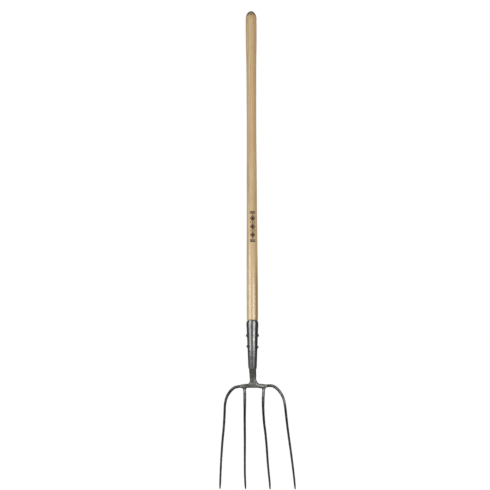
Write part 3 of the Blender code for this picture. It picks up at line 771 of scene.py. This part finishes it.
def build_handle(material):
    radius_at = hermite(HANDLE_PROFILE)
    base, base_radius = HANDLE_TOP - DOME_HEIGHT, HANDLE_PROFILE[0][1]
    dome = [(base + DOME_HEIGHT * math.sin(lift), base_radius * math.cos(lift))
            for lift in np.linspace(math.radians(89.2), math.radians(1.0), 44)]
    # closer rows at the ornament and at the socket's mouth
    body = np.concatenate([
        np.arange(base, MARK_HIGH + 6, -2.95), np.arange(MARK_HIGH + 6, MARK_LOW - 6, -0.52),
        np.arange(MARK_LOW - 6, 240.0, -2.95), np.linspace(240.0, 230.0, 27),
        np.linspace(227.0, 84.0, 40)])
    rows = np.array(dome + [(z, float(radius_at(z))) for z in body] + HANDLE_FOOT)
    steps = 150
    angle = (np.arange(steps) + 0.5) / steps * 2 * math.pi
    rings = np.stack([rows[:, 1:2] * np.cos(angle), rows[:, 1:2] * np.sin(angle),
                      np.repeat(rows[:, 0:1], steps, axis=1)], axis=-1)
    obj = make("ash_handle_turned", *skin(rings, cap_steps=3))

    def relief(points):
        z = points[:, 2]
        height = 0.09 * fbm(points / (38.0, 38.0, 150.0), 2, 3)
        height += 0.030 * fbm(points / (7.0, 7.0, 60.0), 2, 9)
        height -= 0.055 * smooth(0.42, 0.72, noise(points / (1.7, 1.7, 26.0), 21))
        # faint turning marks, strongest on the dome
        height += 0.012 * np.sin(z * 2.1) * (0.4 + smooth(1262.0, 1290.0, z))
        height -= dents(points, HANDLE_DENTS, radius_at, stretch=1.8)
        near = near_mark(z, margin=6)
        burnt = np.zeros(len(points))
        burnt[near] = 1 - smooth(-0.55, 0.25, mark_distance(points[near]))
        height -= burnt * (0.34 + 0.08 * noise(points / 1.6, 77))
        # smooth inside the socket
        return height * smooth(236.5, 246.0, z)

    displace(obj, relief)
    drill_rivet_holes(obj, play=0.3)
    points = points_of(obj)
    near = near_mark(points[:, 2], margin=8)
    mark = np.full(len(points), 9.0)
    mark[near] = np.clip(mark_distance(points[near]), -9.0, 9.0)
    set_attribute(obj, "mark", mark)
    finish(obj, "ash_handle", material)


# ---------------------------------------------------------------- socket
OUTER_RADIUS, INNER_RADIUS = hermite(SOCKET_OUTER), hermite(SOCKET_INNER)


def rim_fall(angle):
    """How far the socket's mouth falls at an angle, as a share of RIM_DROP."""
    return np.tanh(0.9 * (1 - np.cos(angle - math.radians(RIM_TURN)))) / math.tanh(0.9)


def socket_mesh():
    """The rolled tube, its wall swept round from one lip of the rear seam to the other."""
    heights = np.concatenate([np.linspace(SOCKET_END, 72.0, 7), np.linspace(73.2, 229.0, 110),
                              np.linspace(229.8, RIM_Z, 16)])
    loop_z = np.concatenate([heights, heights[::-1]])
    loop_radius = np.concatenate([OUTER_RADIUS(heights), INNER_RADIUS(heights)[::-1]])
    is_outer = np.repeat([1.0, 0.0], len(heights))
    spread = np.interp(loop_z, *zip(*SEAM)) / loop_radius
    steps = 168
    share = np.linspace(0.0, 1.0, steps)[:, None]
    angle = math.pi / 2 + spread + (2 * math.pi - 2 * spread) * share
    # the mouth's fall reaches down to z = 200
    drop = RIM_DROP * np.maximum(0.0, (loop_z - 200.0) / (RIM_Z - 200.0)) ** 1.5
    z = loop_z - drop * rim_fall(angle)
    # the lips of the seam are rolled in slightly
    from_lip = np.minimum(share, 1 - share) * 2 * math.pi * loop_radius
    radius = loop_radius - 0.35 * bell(from_lip, 2.2) * is_outer
    rings = np.stack([radius * np.cos(angle), radius * np.sin(angle), z], axis=-1)
    verts, faces = skin(rings, ends=False)
    # open the seam, then close the wall's edge along each lip
    around = rings.shape[1]
    last = (steps - 1) * around
    faces = [face for face in faces if not (min(face) < around and max(face) >= last)]
    for ring in (0, last):
        for i in range(len(heights) - 1):
            quad = [ring + i, ring + i + 1, ring + around - 2 - i, ring + around - 1 - i]
            faces.append(quad if ring else quad[::-1])
    return verts, faces


def build_socket(material):
    obj = make("socket_rolled", *socket_mesh())
    turn_outwards(obj)

    def relief(points):
        x, y, z = points.T
        outside = smooth(-0.9, -0.2, np.hypot(x, y) - OUTER_RADIUS(z))
        angle = np.arctan2(y, x)
        around = angle * 18.0    # unrolled to about mm
        zero = np.zeros(len(points))
        height = 0.034 * fbm(np.stack([around / 9.0, z / 16.0, zero], axis=1), 2, 40)
        height += 0.009 * noise(np.stack([around / 1.3, z / 30.0, zero], axis=1), 44)
        # a shallow groove round the tube with a low ridge above it
        sway = 0.5 * np.sin(angle * 2)
        height -= 0.16 * bell(z - 125.0 - sway, 1.0)
        height += 0.10 * bell(z - 128.0 - sway, 1.5)
        height -= dents(points, SOCKET_DENTS, OUTER_RADIUS)
        return height * outside

    displace(obj, relief)
    drill_rivet_holes(obj, play=0.25)
    points = points_of(obj)
    x, y, z = points.T
    below_rim = RIM_Z - RIM_DROP * rim_fall(np.arctan2(y, x)) - z
    wear_and_sheen = 0.75 * np.exp(-np.abs(below_rim) / 0.9)
    wear_and_sheen += 0.35 * smooth(0.35, 0.75, fbm(points / (5.0, 5.0, 12.0), 3, 60))
    set_wear_and_sheen(obj, wear_and_sheen)
    finish(obj, "socket", material, sharp=42)


# ---------------------------------------------------------------- neck
NECK_CURVES = [hermite(NECK, column) for column in range(1, 6)]


def neck_at(z):
    """Half width, half depth, centre x, centre y and power of the neck at a height."""
    return [curve(z) for curve in NECK_CURVES]


def superellipse(half_x, half_y, centre_x, centre_y, power, z):
    steps = 112
    cosine, sine = np.cos(circle(steps)), np.sin(circle(steps))
    return np.stack([centre_x + half_x * np.sign(cosine) * np.abs(cosine) ** (2 / power),
                     centre_y + half_y * np.sign(sine) * np.abs(sine) ** (2 / power),
                     np.full(steps, z)], axis=1)


def build_neck(material):
    rings = [superellipse(radius, radius, 0, 0, 2.0, z) for z, radius in TANG]
    for z in np.concatenate([np.linspace(NECK[0][0], 16.0, 92), np.linspace(15.6, NECK_FOOT, 5)]):
        rings.append(superellipse(*neck_at(z), z))
    obj = make("neck_forged", *skin(rings))
    lump_x, lump_z = 9.3, 22.5    # a ground lump on the front, low on the right

    def relief(points):
        _, y, z = points.T
        height = 0.16 * fbm(points / (9.0, 9.0, 14.0), 3, 70)
        height += 0.05 * noise(points / (1.6, 1.6, 18.0), 71)
        # planishing flats
        height -= 0.20 * smooth(0.15, 0.6, noise(points / (6.0, 20.0, 8.5), 74))
        lump = smooth(-3.0, -6.0, y) * patch(points, lump_x, lump_z, 3.4, 4.2)
        height += lump * (0.85 + 0.25 * noise(points / 1.4, 75))
        # the tang and the foot stay smooth
        return height * smooth(69.0, 66.5, z) * smooth(14.6, 15.6, z)

    displace(obj, relief)
    points = points_of(obj)
    _, y, z = points.T
    wear_and_sheen = 0.75 * smooth(-3.0, -6.0, y) * patch(points, lump_x, lump_z, 3.2, 4.0)
    wear_and_sheen += 0.28 * smooth(0.25, 0.8, fbm(points / 6.0, 3, 77))
    wear_and_sheen += 0.30 * smooth(20.0, 15.0, z) * smooth(-0.2, 0.5, noise(points / 3.0, 79))
    set_wear_and_sheen(obj, wear_and_sheen)
    finish(obj, "neck", material)


# ---------------------------------------------------------------- crossbar
BAR_CURVES = [hermite(CROSSBAR, column) for column in range(1, 5)]


def bar_ring(x):
    """Rounded rectangle across the crossbar, with points along its straight sides as well."""
    half, low, high, corner = (curve(x) for curve in BAR_CURVES)
    corner = min(corner, half - 0.5, (high - low) / 2 - 0.3)
    arc_points, side_points = 14, 9
    # (y, z) of each corner's centre, in the order of the quarter turns
    centres = [(half - corner, high - corner), (-half + corner, high - corner),
               (-half + corner, low + corner), (half - corner, low + corner)]

    def on_corner(k, degrees):
        y, z = centres[k % 4]
        angle = math.radians(degrees)
        return np.array((x, y + corner * math.cos(angle), z + corner * math.sin(angle)))

    ring = []
    for k in range(4):
        for i in range(arc_points):
            ring.append(on_corner(k, 90 * k + 90 * i / (arc_points - 1)))
        start, end = ring[-1], on_corner(k + 1, 90 * k + 90)
        for i in range(1, side_points + 1):
            ring.append(start + (end - start) * i / (side_points + 1))
    return np.array(ring)


def ridge(points, start, end, wide):
    """Nearness, from 0 to 1, to a line from start to end, in X and Z, and the share along it."""
    start, end = np.array(start), np.array(end)
    line = end - start
    offset = points[:, [0, 2]] - start
    share = np.clip(offset @ line / (line @ line), 0, 1)
    far = np.linalg.norm(offset - share[:, None] * line, axis=1)
    return bell(far, wide), share


def build_crossbar(material):
    rings = [bar_ring(x) for x in np.linspace(BAR_LEFT, BAR_RIGHT, 150)]
    obj = make("crossbar_forged", *skin(rings))

    def relief(points):
        x, y, z = points.T
        front, back = smooth(-3.5, -6.5, y), smooth(3.5, 6.5, y)
        height = 0.22 * fbm(points / 7.5, 3, 80) + 0.06 * noise(points / 1.8, 83)
        # five ridges, three on the front and two on the back, some of them rippled
        near, share = ridge(points, (14.5, 13.2), (31.0, 3.6), 3.4)
        height += front * near * 1.15 * (1 + 0.16 * np.sin(share * 42.0 + 0.8 * np.sin(z)))
        near, _ = ridge(points, (-27.0, 8.5), (-20.0, 11.0), 3.0)
        height += front * near * 0.45
        near, _ = ridge(points, (30.5, 6.0), (37.5, 2.0), 3.2)
        height += front * near * 0.70 * (1 + 0.2 * np.sin(x * 3.1))
        near, share = ridge(points, (24.0, 6.0), (37.0, 4.0), 3.4)
        height += back * near * 0.7 * (1 + 0.15 * np.sin(share * 30))
        near, _ = ridge(points, (-30.0, 4.0), (-22.0, 5.0), 3.4)
        height += back * near * 0.6
        # spatter
        rng = np.random.default_rng(11)
        for _ in range(26):
            spot_x, spot_z = rng.uniform(-30, 40), rng.uniform(1.5, 12.5)
            size = rng.uniform(0.35, 0.85)
            side = front if rng.random() < 0.6 else back
            height += side * size * 0.55 * bell(np.hypot(x - spot_x, z - spot_z), size)
        # the middle of the underside stays flat, and so do the ends
        flat = smooth(1.5, 0.3, z) * smooth(19.0, 16.0, np.abs(x))
        ends = smooth(BAR_LEFT, -37.0, x) * smooth(BAR_RIGHT, 43.0, x)
        return height * (1 - flat) * ends

    displace(obj, relief)
    points = points_of(obj)
    # the front ridges are painted brighter: partly rubbed steel, partly a painted highlight where
    # they catch the light
    inner, _ = ridge(points, (14.5, 13.2), (30.0, 4.4), 3.0)
    outer, _ = ridge(points, (30.5, 6.0), (37.5, 2.0), 2.8)
    wear_and_sheen = smooth(-3.5, -6.5, points[:, 1]) * (0.85 * inner + 0.55 * outer)
    wear_and_sheen += 0.35 * smooth(0.2, 0.7, fbm(points / 5.0, 3, 90))
    set_wear_and_sheen(obj, wear_and_sheen)
    finish(obj, "crossbar", material)


# ---------------------------------------------------------------- tines
SIDE_LINE, _ = spline([(z, y, 0.0) for z, y in DISH], np.linspace(0, 1, 1200))
SIDE_LINE = SIDE_LINE[np.argsort(SIDE_LINE[:, 0])]
TINE_RADIUS_AT = hermite(TINE_RADIUS)


def front_line(name, samples):
    """A tine's centre line seen from the front, at shares of its length, and the length."""
    return spline([(x, 0.0, z) for x, z in TINES[name]], samples)


def tine_frames(name, samples):
    """Centres of a tine at shares of its length, with the directions across and through it."""
    centres, _ = front_line(name, samples)
    centres[:, 1] = np.interp(centres[:, 2], SIDE_LINE[:, 0], SIDE_LINE[:, 1])
    tangent = np.gradient(centres, samples, axis=0)
    tangent /= np.linalg.norm(tangent, axis=1)[:, None]
    depth = np.array([0.0, 1.0, 0.0]) - tangent * tangent[:, 1:2]
    depth /= np.linalg.norm(depth, axis=1)[:, None]
    return centres, np.cross(depth, tangent), depth


def build_tine(name, material, seed):
    body = np.linspace(0.0, 0.955, 400)
    tip = 0.955 + 0.045 * (1 - (1 - np.linspace(0, 1, 34)[1:]) ** 1.8)
    samples = np.concatenate([body, tip])
    centres, across, depth = tine_frames(name, samples)
    _, length = front_line(name, [0.0])
    # the relief below takes away more than it adds, and the lacquer has a thickness
    radius = TINE_RADIUS_AT(samples) + 0.15
    # the cut end is rounded over
    left = np.clip((1 - samples) * length / 1.9, 0.0, 1.0)
    radius = radius * np.sqrt(np.maximum(1 - (1 - left) ** 2, 0.012))
    angle = circle(44)
    rings = (centres[:, None, :]
             + across[:, None, :] * (radius[:, None] * np.cos(angle))[..., None]
             + depth[:, None, :] * (radius[:, None] * TINE_OVAL * np.sin(angle))[..., None])
    # the root is cut level on an inner tine, upright on an outer one
    axis = 2 if "inner" in name else 0
    rings[0, :, axis] = centres[0, axis]
    obj = make(name + "_drawn", *skin(rings))

    def relief(points):
        height = 0.075 * fbm(points / (5.0, 5.0, 13.0), 3, seed)
        height += 0.030 * noise(points / (1.3, 1.3, 3.2), seed + 5)
        # pits
        height -= 0.07 * smooth(0.55, 0.8, noise(points / 2.1, seed + 9))
        # drawn down under a hammer: soft flats that come and go along the bar
        height -= 0.10 * smooth(0.1, 0.55, noise(points / (4.5, 4.5, 26.0), seed + 13))
        return height

    displace(obj, relief)
    points = points_of(obj)
    wear_and_sheen = 0.15 * smooth(0.35, 0.9, fbm(points / (4.0, 4.0, 9.0), 3, seed + 20))
    # brighter nearer the crossbar: partly rubbed steel, partly a painted highlight of the softboxes
    # on the roots
    wear_and_sheen = wear_and_sheen + 0.21 * smooth(0.26, 0.05, np.clip(-points[:, 2] / 350.0, 0, 1))
    # bright patches: partly rubbed steel, partly painted highlights
    for *place, amount in TINE_SHEEN_AND_WEAR:
        wear_and_sheen = wear_and_sheen + amount * patch(points, *place)
    set_wear_and_sheen(obj, wear_and_sheen)
    finish(obj, name, material)


# ---------------------------------------------------------------- rivets
def build_rivet(name, material):
    """Shank and two heads: a round factory dome on the right, a flatter hammered one on the left."""
    middle, right_drop, seed = RIVETS[name]
    steps = 56
    angle = circle(steps)
    wall = float(OUTER_RADIUS(middle))

    def seat(radius, shift=0.0):
        """y, z and the socket's outside x round a ring."""
        y = radius * np.cos(angle)
        z = middle + shift + radius * np.sin(angle)
        return y, z, np.sqrt(OUTER_RADIUS(z) ** 2 - y * y) - 0.06

    def seated(radius, side, shift=0.0):
        y, z, x = seat(radius, shift)
        return np.stack([side * (x + 0.02), y, z], axis=1)

    def raised(radius, height, side, shift=0.0):
        y, z, x = seat(radius, shift)
        return np.stack([side * np.maximum(wall + 0.3 + height, x + 0.05), y, z], axis=1)

    wobble = 1 + 0.045 * np.cos(3 * angle + seed) + 0.03 * np.cos(5 * angle + 2 * seed)
    rings = [raised(RIVET_HEAD * share * wobble, RIVET_HEIGHT * high - 0.25, -1)
             for share, high in HAMMERED_HEAD]
    rings += [seated(RIVET_HEAD * 0.985 * wobble, -1), seated(RIVET_HEAD * 0.8, -1),
              seated(RIVET_SHANK, -1)]
    for x in np.linspace(-wall + 2.5, wall - 2.5, 12):
        rings.append(np.stack([np.full(steps, x), RIVET_SHANK * np.cos(angle),
                               middle + RIVET_SHANK * np.sin(angle)], axis=1))
    rings += [seated(RIVET_SHANK, 1), seated(RIVET_HEAD * 0.8, 1, right_drop * 0.5),
              seated(RIVET_HEAD * 0.99, 1, right_drop)]
    for i in range(12):
        lift = math.radians(4 + 80 * i / 11)
        rings.append(raised(RIVET_HEAD * math.cos(lift), RIVET_HEIGHT * math.sin(lift), 1,
                            right_drop))
    obj = make(name + "_peened", *skin(rings))

    def relief(points):
        x = points[:, 0]
        left = smooth(-wall - 0.5, -wall - 1.6, x)
        right = smooth(wall + 0.5, wall + 1.6, x)
        hammered = 0.16 * noise(points / 1.7, seed)
        hammered -= 0.20 * smooth(0.1, 0.6, noise(points / 2.6, seed + 3))
        return left * hammered + right * 0.05 * noise(points / 1.5, seed + 6)

    displace(obj, relief)
    points = points_of(obj)
    wear_and_sheen = 0.5 * smooth(wall + 1.8, wall + 3.4, np.abs(points[:, 0]))
    wear_and_sheen += 0.3 * smooth(0.2, 0.7, noise(points / 1.2, seed + 8))
    set_wear_and_sheen(obj, wear_and_sheen)
    finish(obj, name, material)


# ---------------------------------------------------------------- welds
def make_bead(node, mesh, material, *, seed, height, cell, wear_and_sheen, sharp):
    """A weld bead, roughened by height over cells of that size, both in mm."""
    obj = make(node + "_bead", *mesh)
    displace(obj, lambda points: height * fbm(points / cell, 2, seed))
    set_wear_and_sheen(obj, wear_and_sheen * smooth(-0.2, 0.6, fbm(points_of(obj) / 2.6, 3, seed + 2)) + 0.15)
    finish(obj, node, material, sharp)


def build_tine_weld(name, material):
    """A rippled bead round a tine's root: under the crossbar a hollow fillet whose toe follows the
    bar's rounded underside, at the bar's ends a rounded bead that comes out of the end and dies on
    the tine."""
    high, wide, phase, lumps, seed = TINE_WELDS[name]
    tine = "tine_" + name
    inner = "inner" in name
    steps, rows = 150, 22
    # the profile: rows down the outside, then four points back up inside the tine
    share = np.linspace(0, 1, rows)
    if inner:
        out = 0.12 + (wide - 0.12) * (1 - share) ** 1.9
    else:
        out = 0.10 + wide * np.cos(share * math.pi / 2) ** 0.85
    along = np.concatenate([share * high, [high + 0.15, high * 0.6, high * 0.2, 0.0]])
    out = np.concatenate([out, [-0.12, -0.15, -0.15, -0.15]])
    outside = np.arange(rows + 4) < rows
    toe = np.concatenate([(1 - share) ** 2.2, [0, 0, 0.2, 1.0]])

    # the frames are wanted in the order of the tine's length, each at a share of its own
    _, length = front_line(tine, [0.0])
    order = np.argsort(along)
    shares = along[order] / length + np.arange(len(along)) * 1e-7
    frames = tine_frames(tine, np.concatenate([shares, [shares[-1] + 0.01]]))
    centres, across, depth = (values[:-1][np.argsort(order)] for values in frames)
    radius = TINE_RADIUS_AT(along / length)
    fade = np.where(outside, 1 - (along / high) ** 2, 0.0)
    rings = []
    for i in range(steps):
        angle = 2 * math.pi * i / steps
        lump = lumps * (math.sin(3 * angle + phase) + 0.7 * math.sin(5 * angle + 2 * phase))
        beat = 24 * angle + 1.1 * math.sin(2 * angle + phase) + 0.7 * math.sin(5 * angle)
        ripple = (0.10 if inner else 0.08) * np.sin(beat + 0.55 * along)
        grow = out + fade * (lump + ripple)
        # front to back the fillet has only the bar's underside to sit on
        shallow = out * (0.42 if inner else 0.8) + fade * (0.6 * lump + ripple)
        grow_deep = np.where(outside, shallow, grow)
        profile = (centres + across * ((radius + grow) * math.cos(angle))[:, None]
                   + depth * ((radius * TINE_OVAL + grow_deep) * math.sin(angle))[:, None])
        x, y, z = profile[0]
        if inner:
            half, low, _, corner = (curve(x) for curve in BAR_CURVES)
            over = min(max(abs(y) - (half - corner), 0.0), corner * 0.98)
            rise = corner - math.sqrt(corner**2 - over**2)
            profile[:, 2] += toe * (low + rise + 0.35 - z)
        else:
            inward = 1.0 if x < 0 else -1.0
            profile[:, 0] += toe * inward * 1.3
        rings.append(profile)
    make_bead("weld_" + name, skin(rings, ends=False), material, seed=seed, height=0.07, cell=1.7,
              wear_and_sheen=0.6 if inner else 0.2, sharp=75)


def neck_side(z, y, side):
    """How far the neck reaches at height z and depth y, to the left (-1) or the right (1)."""
    half_x, half_y, centre_x, centre_y, power = neck_at(z)
    share = min(abs((y - centre_y) / half_y), 1.0)
    return half_x * (1 - share ** power) ** (1 / power) + side * centre_x


def neck_face(z, x):
    """Half the neck's depth at height z and place x."""
    half_x, half_y, centre_x, _, power = neck_at(z)
    share = min(abs((x - centre_x) / half_x), 1.0)
    return half_y * (1 - share ** power) ** (1 / power)


# (height, width) of the fillets beside the neck; the right one runs out further along the bar
SIDE_FILLETS = {
    "left": [(0.0, 3.75), (0.8, 3.2), (2.3, 1.75), (3.8, 0.75), (5.2, 0.12)],
    "right": [(0.0, 9.7), (0.9, 6.3), (2.7, 4.2), (4.6, 3.05), (7.8, 1.8), (11.3, 1.0),
              (13.7, 0.05)],
}


def build_neck_side_weld(name, side, material, seed, wear_and_sheen):
    """The fillet in the corner between the crossbar's top and one side of the neck."""
    fillet, high = hermite(SIDE_FILLETS[name]), SIDE_FILLETS[name][-1][0]
    share = np.linspace(0, 1, 30) ** 1.3
    rings = []
    for y in np.linspace(-6.3, 6.3, 64):
        swell = 0.10 + 0.90 * max(0.0, math.cos(math.pi * y / 13.0)) ** 0.75
        ripple = 1 + 0.045 * math.sin(y * 3.6) + 0.03 * math.sin(y * 1.7 + side)
        # the base follows the bar's rounded top
        base = 13.95 - 0.25 * max(0.0, abs(y) - 4.2) ** 2 / 3.6
        heights = base + high * swell * share
        reach = np.array([neck_side(z, y, side) for z in heights])
        reach = reach + 0.05 + fillet(high * share) * swell * ripple
        inner = [(neck_side(z, y, side) - 0.7, z) for z in np.linspace(heights[-1], 14.6, 10)]
        profile = [(reach[0] - 0.3, base - 0.6), *zip(reach, heights), *inner,
                   (neck_side(NECK_FOOT, y, side) - 0.3, base - 0.6)]
        rings.append([(side * x, y, z) for x, z in profile])
    make_bead("weld_neck_" + name, skin(rings, cap_steps=3), material, seed=seed, height=0.12,
              cell=1.9, wear_and_sheen=wear_and_sheen, sharp=60)


def build_neck_face_weld(name, side, material, seed):
    """The bead between the crossbar's top and the front (side -1) or back (side 1) of the neck."""
    _, bar_half, _, bar_top, corner = CROSSBAR[len(CROSSBAR) // 2]
    middle, half_length, count = NECK[-1][3], 12.2, 96

    def on_corner(degrees):
        """(y, z) just under the bar's rounded edge, at an angle from straight up."""
        angle, reach = math.radians(degrees), corner - 0.15
        return (bar_half - corner + reach * math.sin(angle),
                bar_top - corner + reach * math.cos(angle))

    share = np.linspace(0, 1, 16)
    rings = []
    for i, x in enumerate(np.linspace(middle - half_length, middle + half_length, count)):
        end = math.sin(min(1.0, min(i, count - 1 - i) / 14.0) * math.pi / 2)
        ripple = 0.11 * math.sin(x * 3.0 + 0.8 * math.sin(0.7 * x)) * end
        lump = 0.20 * math.sin(0.9 * x + seed) * end
        start_z = 16.2 + lump
        start_y = neck_face(start_z, x) + 0.05
        stop_y, stop_z = on_corner(80)
        swell = (0.10 + (0.62 + ripple + lump) * end) * np.sin(math.pi * share) ** 0.8
        outer = zip(start_y + (stop_y - start_y) * share + swell * 0.85,
                    start_z + (stop_z - start_z) * share + swell * 0.35)
        inner = [on_corner(70), on_corner(55), on_corner(40),
                 (neck_face(14.5, x) - 1.0, 14.1), (neck_face(14.6, x) - 0.3, 14.8),
                 (neck_face(15.5, x) - 0.3, 15.6)]
        rings.append([(x, side * y, z) for y, z in [*outer, *inner]])
    make_bead("weld_neck_" + name, skin(rings, cap_steps=3), material, seed=seed, height=0.07,
              cell=1.9, wear_and_sheen=0.30, sharp=60)


def build_socket_weld(material):
    """The bead round the neck, closing the socket's lower end."""
    steps = 220
    share = np.linspace(0, 1, 16)
    z = np.concatenate([69.5 - 4.2 * share, [65.6, 67.4, 69.2]])
    half_x, half_y, centre_x, centre_y, _ = neck_at(z)
    rings = []
    for i in range(steps):
        angle = 2 * math.pi * i / steps
        lump = 0.14 * math.sin(7 * angle) + 0.10 * math.sin(4 * angle + 1.0)
        ripple = 0.13 * math.sin(52 * angle + 1.3 * math.sin(3 * angle))
        out = (1.25 + lump + ripple) * np.sin(math.pi * (0.30 + 0.70 * share)) ** 0.75
        out[0] = 1.15 + lump
        out = np.concatenate([out, [-0.2, -0.25, -0.25]])
        rings.append(np.stack([centre_x + (half_x + out) * math.cos(angle),
                               centre_y + (half_y + out) * math.sin(angle), z], axis=1))
    make_bead("weld_socket", skin(rings, ends=False), material, seed=170, height=0.05, cell=1.6,
              wear_and_sheen=0.30, sharp=70)


# ---------------------------------------------------------------- the fork
def build_fork():
    ash = ash_material()
    # the socket's steel darkens towards its lower end: partly heat scale, partly painted shade where
    # the softboxes' reflections fade
    socket_steel = steel_material(
        "lacquered_socket_steel", dark=(0.092, 0.093, 0.092), light=(0.125, 0.125, 0.122),
        worn_and_sheen=(0.24, 0.24, 0.235), roughness=(0.20, 0.27), metallic=0.8, grain=(1.0, 1.0, 0.35),
        bump=0.000018, heat_and_shade_fade=(0.150, 0.092), coat=0.15)
    neck_steel = steel_material(
        "forged_steel", dark=(0.068, 0.070, 0.060), light=(0.118, 0.120, 0.104),
        worn_and_sheen=(0.36, 0.36, 0.35), roughness=(0.44, 0.58), grain=(1.0, 1.0, 0.5), bump=0.00014,
        heat_and_shade_fade=(0.024, 0.042))
    tine_steel = steel_material(
        "drawn_tine_steel", dark=(0.0105, 0.0108, 0.0102), light=(0.033, 0.033, 0.031),
        worn_and_sheen=(0.40, 0.40, 0.39), roughness=(0.36, 0.54), grain=(1.0, 1.0, 0.4), bump=0.00012,
        rust=0.14, coat=0.14)
    rivet_steel = steel_material(
        "rivet_steel", dark=(0.075, 0.076, 0.070), light=(0.125, 0.125, 0.115),
        worn_and_sheen=(0.30, 0.30, 0.29), roughness=(0.34, 0.48), bump=0.00010)
    weld_steel = steel_material(
        "weld_metal", dark=(0.080, 0.081, 0.075), light=(0.145, 0.145, 0.135),
        worn_and_sheen=(0.40, 0.40, 0.39), roughness=(0.34, 0.55), bump=0.00016, warm=0.25)

    build_handle(ash)
    build_socket(socket_steel)
    build_neck(neck_steel)
    build_crossbar(neck_steel)
    for i, name in enumerate(TINES):
        build_tine(name, tine_steel, seed=200 + 37 * i)
    for name in RIVETS:
        build_rivet(name, rivet_steel)
    for name in TINE_WELDS:
        build_tine_weld(name, weld_steel)
    build_neck_side_weld("left", -1, weld_steel, seed=130, wear_and_sheen=0.35)
    build_neck_side_weld("right", 1, weld_steel, seed=140, wear_and_sheen=0.6)
    build_neck_face_weld("front", -1, weld_steel, seed=150)
    build_neck_face_weld("back", 1, weld_steel, seed=160)
    build_socket_weld(weld_steel)


# ---------------------------------------------------------------- studio, in metres
def build_floor():
    """A plain pale floor under the points, seen from above only."""
    radius, z = 7.0, CAD_BOX[0].z
    mesh = bpy.data.meshes.new("studio_floor")
    ring = [(radius * math.cos(angle), radius * math.sin(angle), z)
            for angle in np.linspace(0, 2 * math.pi, 96, endpoint=False)]
    mesh.from_pydata(ring, [], [list(range(96))])
    obj = bpy.data.objects.new("studio_floor", mesh)
    bpy.context.scene.collection.objects.link(obj)

    material = bpy.data.materials.new("pale_floor")
    material.use_nodes = True
    graph = Graph(material.node_tree)
    graph.tree.nodes.clear()
    diffuse = graph.output(0, "ShaderNodeBsdfDiffuse", {"Color": (0.86, 0.86, 0.86)})
    glow = graph.output(0, "ShaderNodeEmission", {"Color": (1, 1, 1), "Strength": 0.34})
    lit = graph.output(0, "ShaderNodeAddShader", {0: diffuse, 1: glow})
    clear = graph.output(0, "ShaderNodeBsdfTransparent")
    below = graph.output("Backfacing", "ShaderNodeNewGeometry")
    shown = graph.output(0, "ShaderNodeMixShader", {0: below, 1: lit, 2: clear})
    graph.add("ShaderNodeOutputMaterial", {0: shown})
    mesh.materials.append(material)
    obj.visible_glossy = False


def build_world():
    """White to the camera, an even pale surround for diffuse light, and a darker studio for
    reflections, with soft bright areas in front, behind and on the left."""
    world = bpy.data.worlds.new("studio")
    bpy.context.scene.world = world
    world.use_nodes = True
    graph = Graph(world.node_tree)
    graph.tree.nodes.clear()
    _, x, y, z = graph.coordinates("Generated")
    # the bright areas keep to the horizon; the last number of each is its brightness
    level = 1.0 - graph.math("ABSOLUTE", z).ramp(0.16, 0.50)
    front = (y * -1.0).ramp(0.60, 0.96, high=0.72) * level
    back = y.ramp(0.82, 0.975, high=0.60) * level
    left = (x * -1.0).ramp(0.72, 0.98, high=0.16) * level
    ambient = 0.085

    def background(colour, strength):
        inputs = {"Color": colour, "Strength": strength}
        return graph.output(0, "ShaderNodeBackground", inputs)

    soft = background((1.0, 0.995, 0.985), 0.80)
    mirror = background((1.0, 1.0, 1.01), (front + back) + (left + ambient))
    shown = background((1, 1, 1), 1.0)
    path = graph.add("ShaderNodeLightPath").outputs
    is_glossy, is_camera = (Value(graph, path[f"Is {ray} Ray"]) for ray in ("Glossy", "Camera"))
    unseen = graph.output(0, "ShaderNodeMixShader", {0: is_glossy, 1: soft, 2: mirror})
    surround = graph.output(0, "ShaderNodeMixShader", {0: is_camera, 1: unseen, 2: shown})
    graph.add("ShaderNodeOutputWorld", {0: surround})


def softbox(name, *, azimuth, distance, low, high, wide, radiance, reflected):
    """A vertical rectangle of light at azimuth degrees to the right of the camera, facing the
    handle. It is seen in reflections only if reflected, and otherwise in diffuse light only."""
    data = bpy.data.lights.new(name, "AREA")
    data.shape = "RECTANGLE"
    data.size = wide
    data.size_y = high - low
    data.energy = radiance * math.pi * wide * (high - low)
    obj = bpy.data.objects.new(name, data)
    bpy.context.scene.collection.objects.link(obj)
    angle = math.radians(azimuth)
    place = Vector((math.sin(angle) * distance, -math.cos(angle) * distance, (low + high) / 2))
    obj.location = place
    obj.rotation_euler = Vector((-place.x, -place.y, 0.0)).to_track_quat("-Z", "Y").to_euler()
    obj.visible_camera = False
    obj.visible_diffuse = not reflected
    obj.visible_glossy = reflected


def build_camera():
    """A very long lens straight in front, rolled slightly."""
    frame_width = 1.69295    # at the handle
    target_x, target_z, roll = -0.0243, 0.4937, -0.24
    data = bpy.data.cameras.new("camera")
    data.lens = 1000.0
    data.sensor_width = 36.0
    data.clip_start = 1.0
    data.clip_end = 200.0
    distance = frame_width / data.sensor_width * data.lens
    obj = bpy.data.objects.new("camera", data)
    bpy.context.scene.collection.objects.link(obj)
    obj.matrix_world = (Matrix.Translation((target_x, -distance, target_z))
                        @ Matrix.Rotation(math.radians(90), 4, "X")
                        @ Matrix.Rotation(math.radians(roll), 4, "Z"))
    bpy.context.scene.camera = obj


build_fork()
build_floor()
build_world()
softbox("strip_left", azimuth=-49.5, distance=0.55, low=0.050, high=0.50, wide=0.35,
        radiance=5.9, reflected=True)
softbox("strip_right", azimuth=33.5, distance=0.55, low=0.050, high=0.365, wide=0.37,
        radiance=6.3, reflected=True)
softbox("fill_low", azimuth=-8.0, distance=1.8, low=-0.25, high=0.45, wide=1.2,
        radiance=0.9, reflected=False)

view = bpy.context.scene.view_settings
view.view_transform = "Standard"
view.look = "None"
view.exposure = 0.0
view.gamma = 1.0
build_camera()
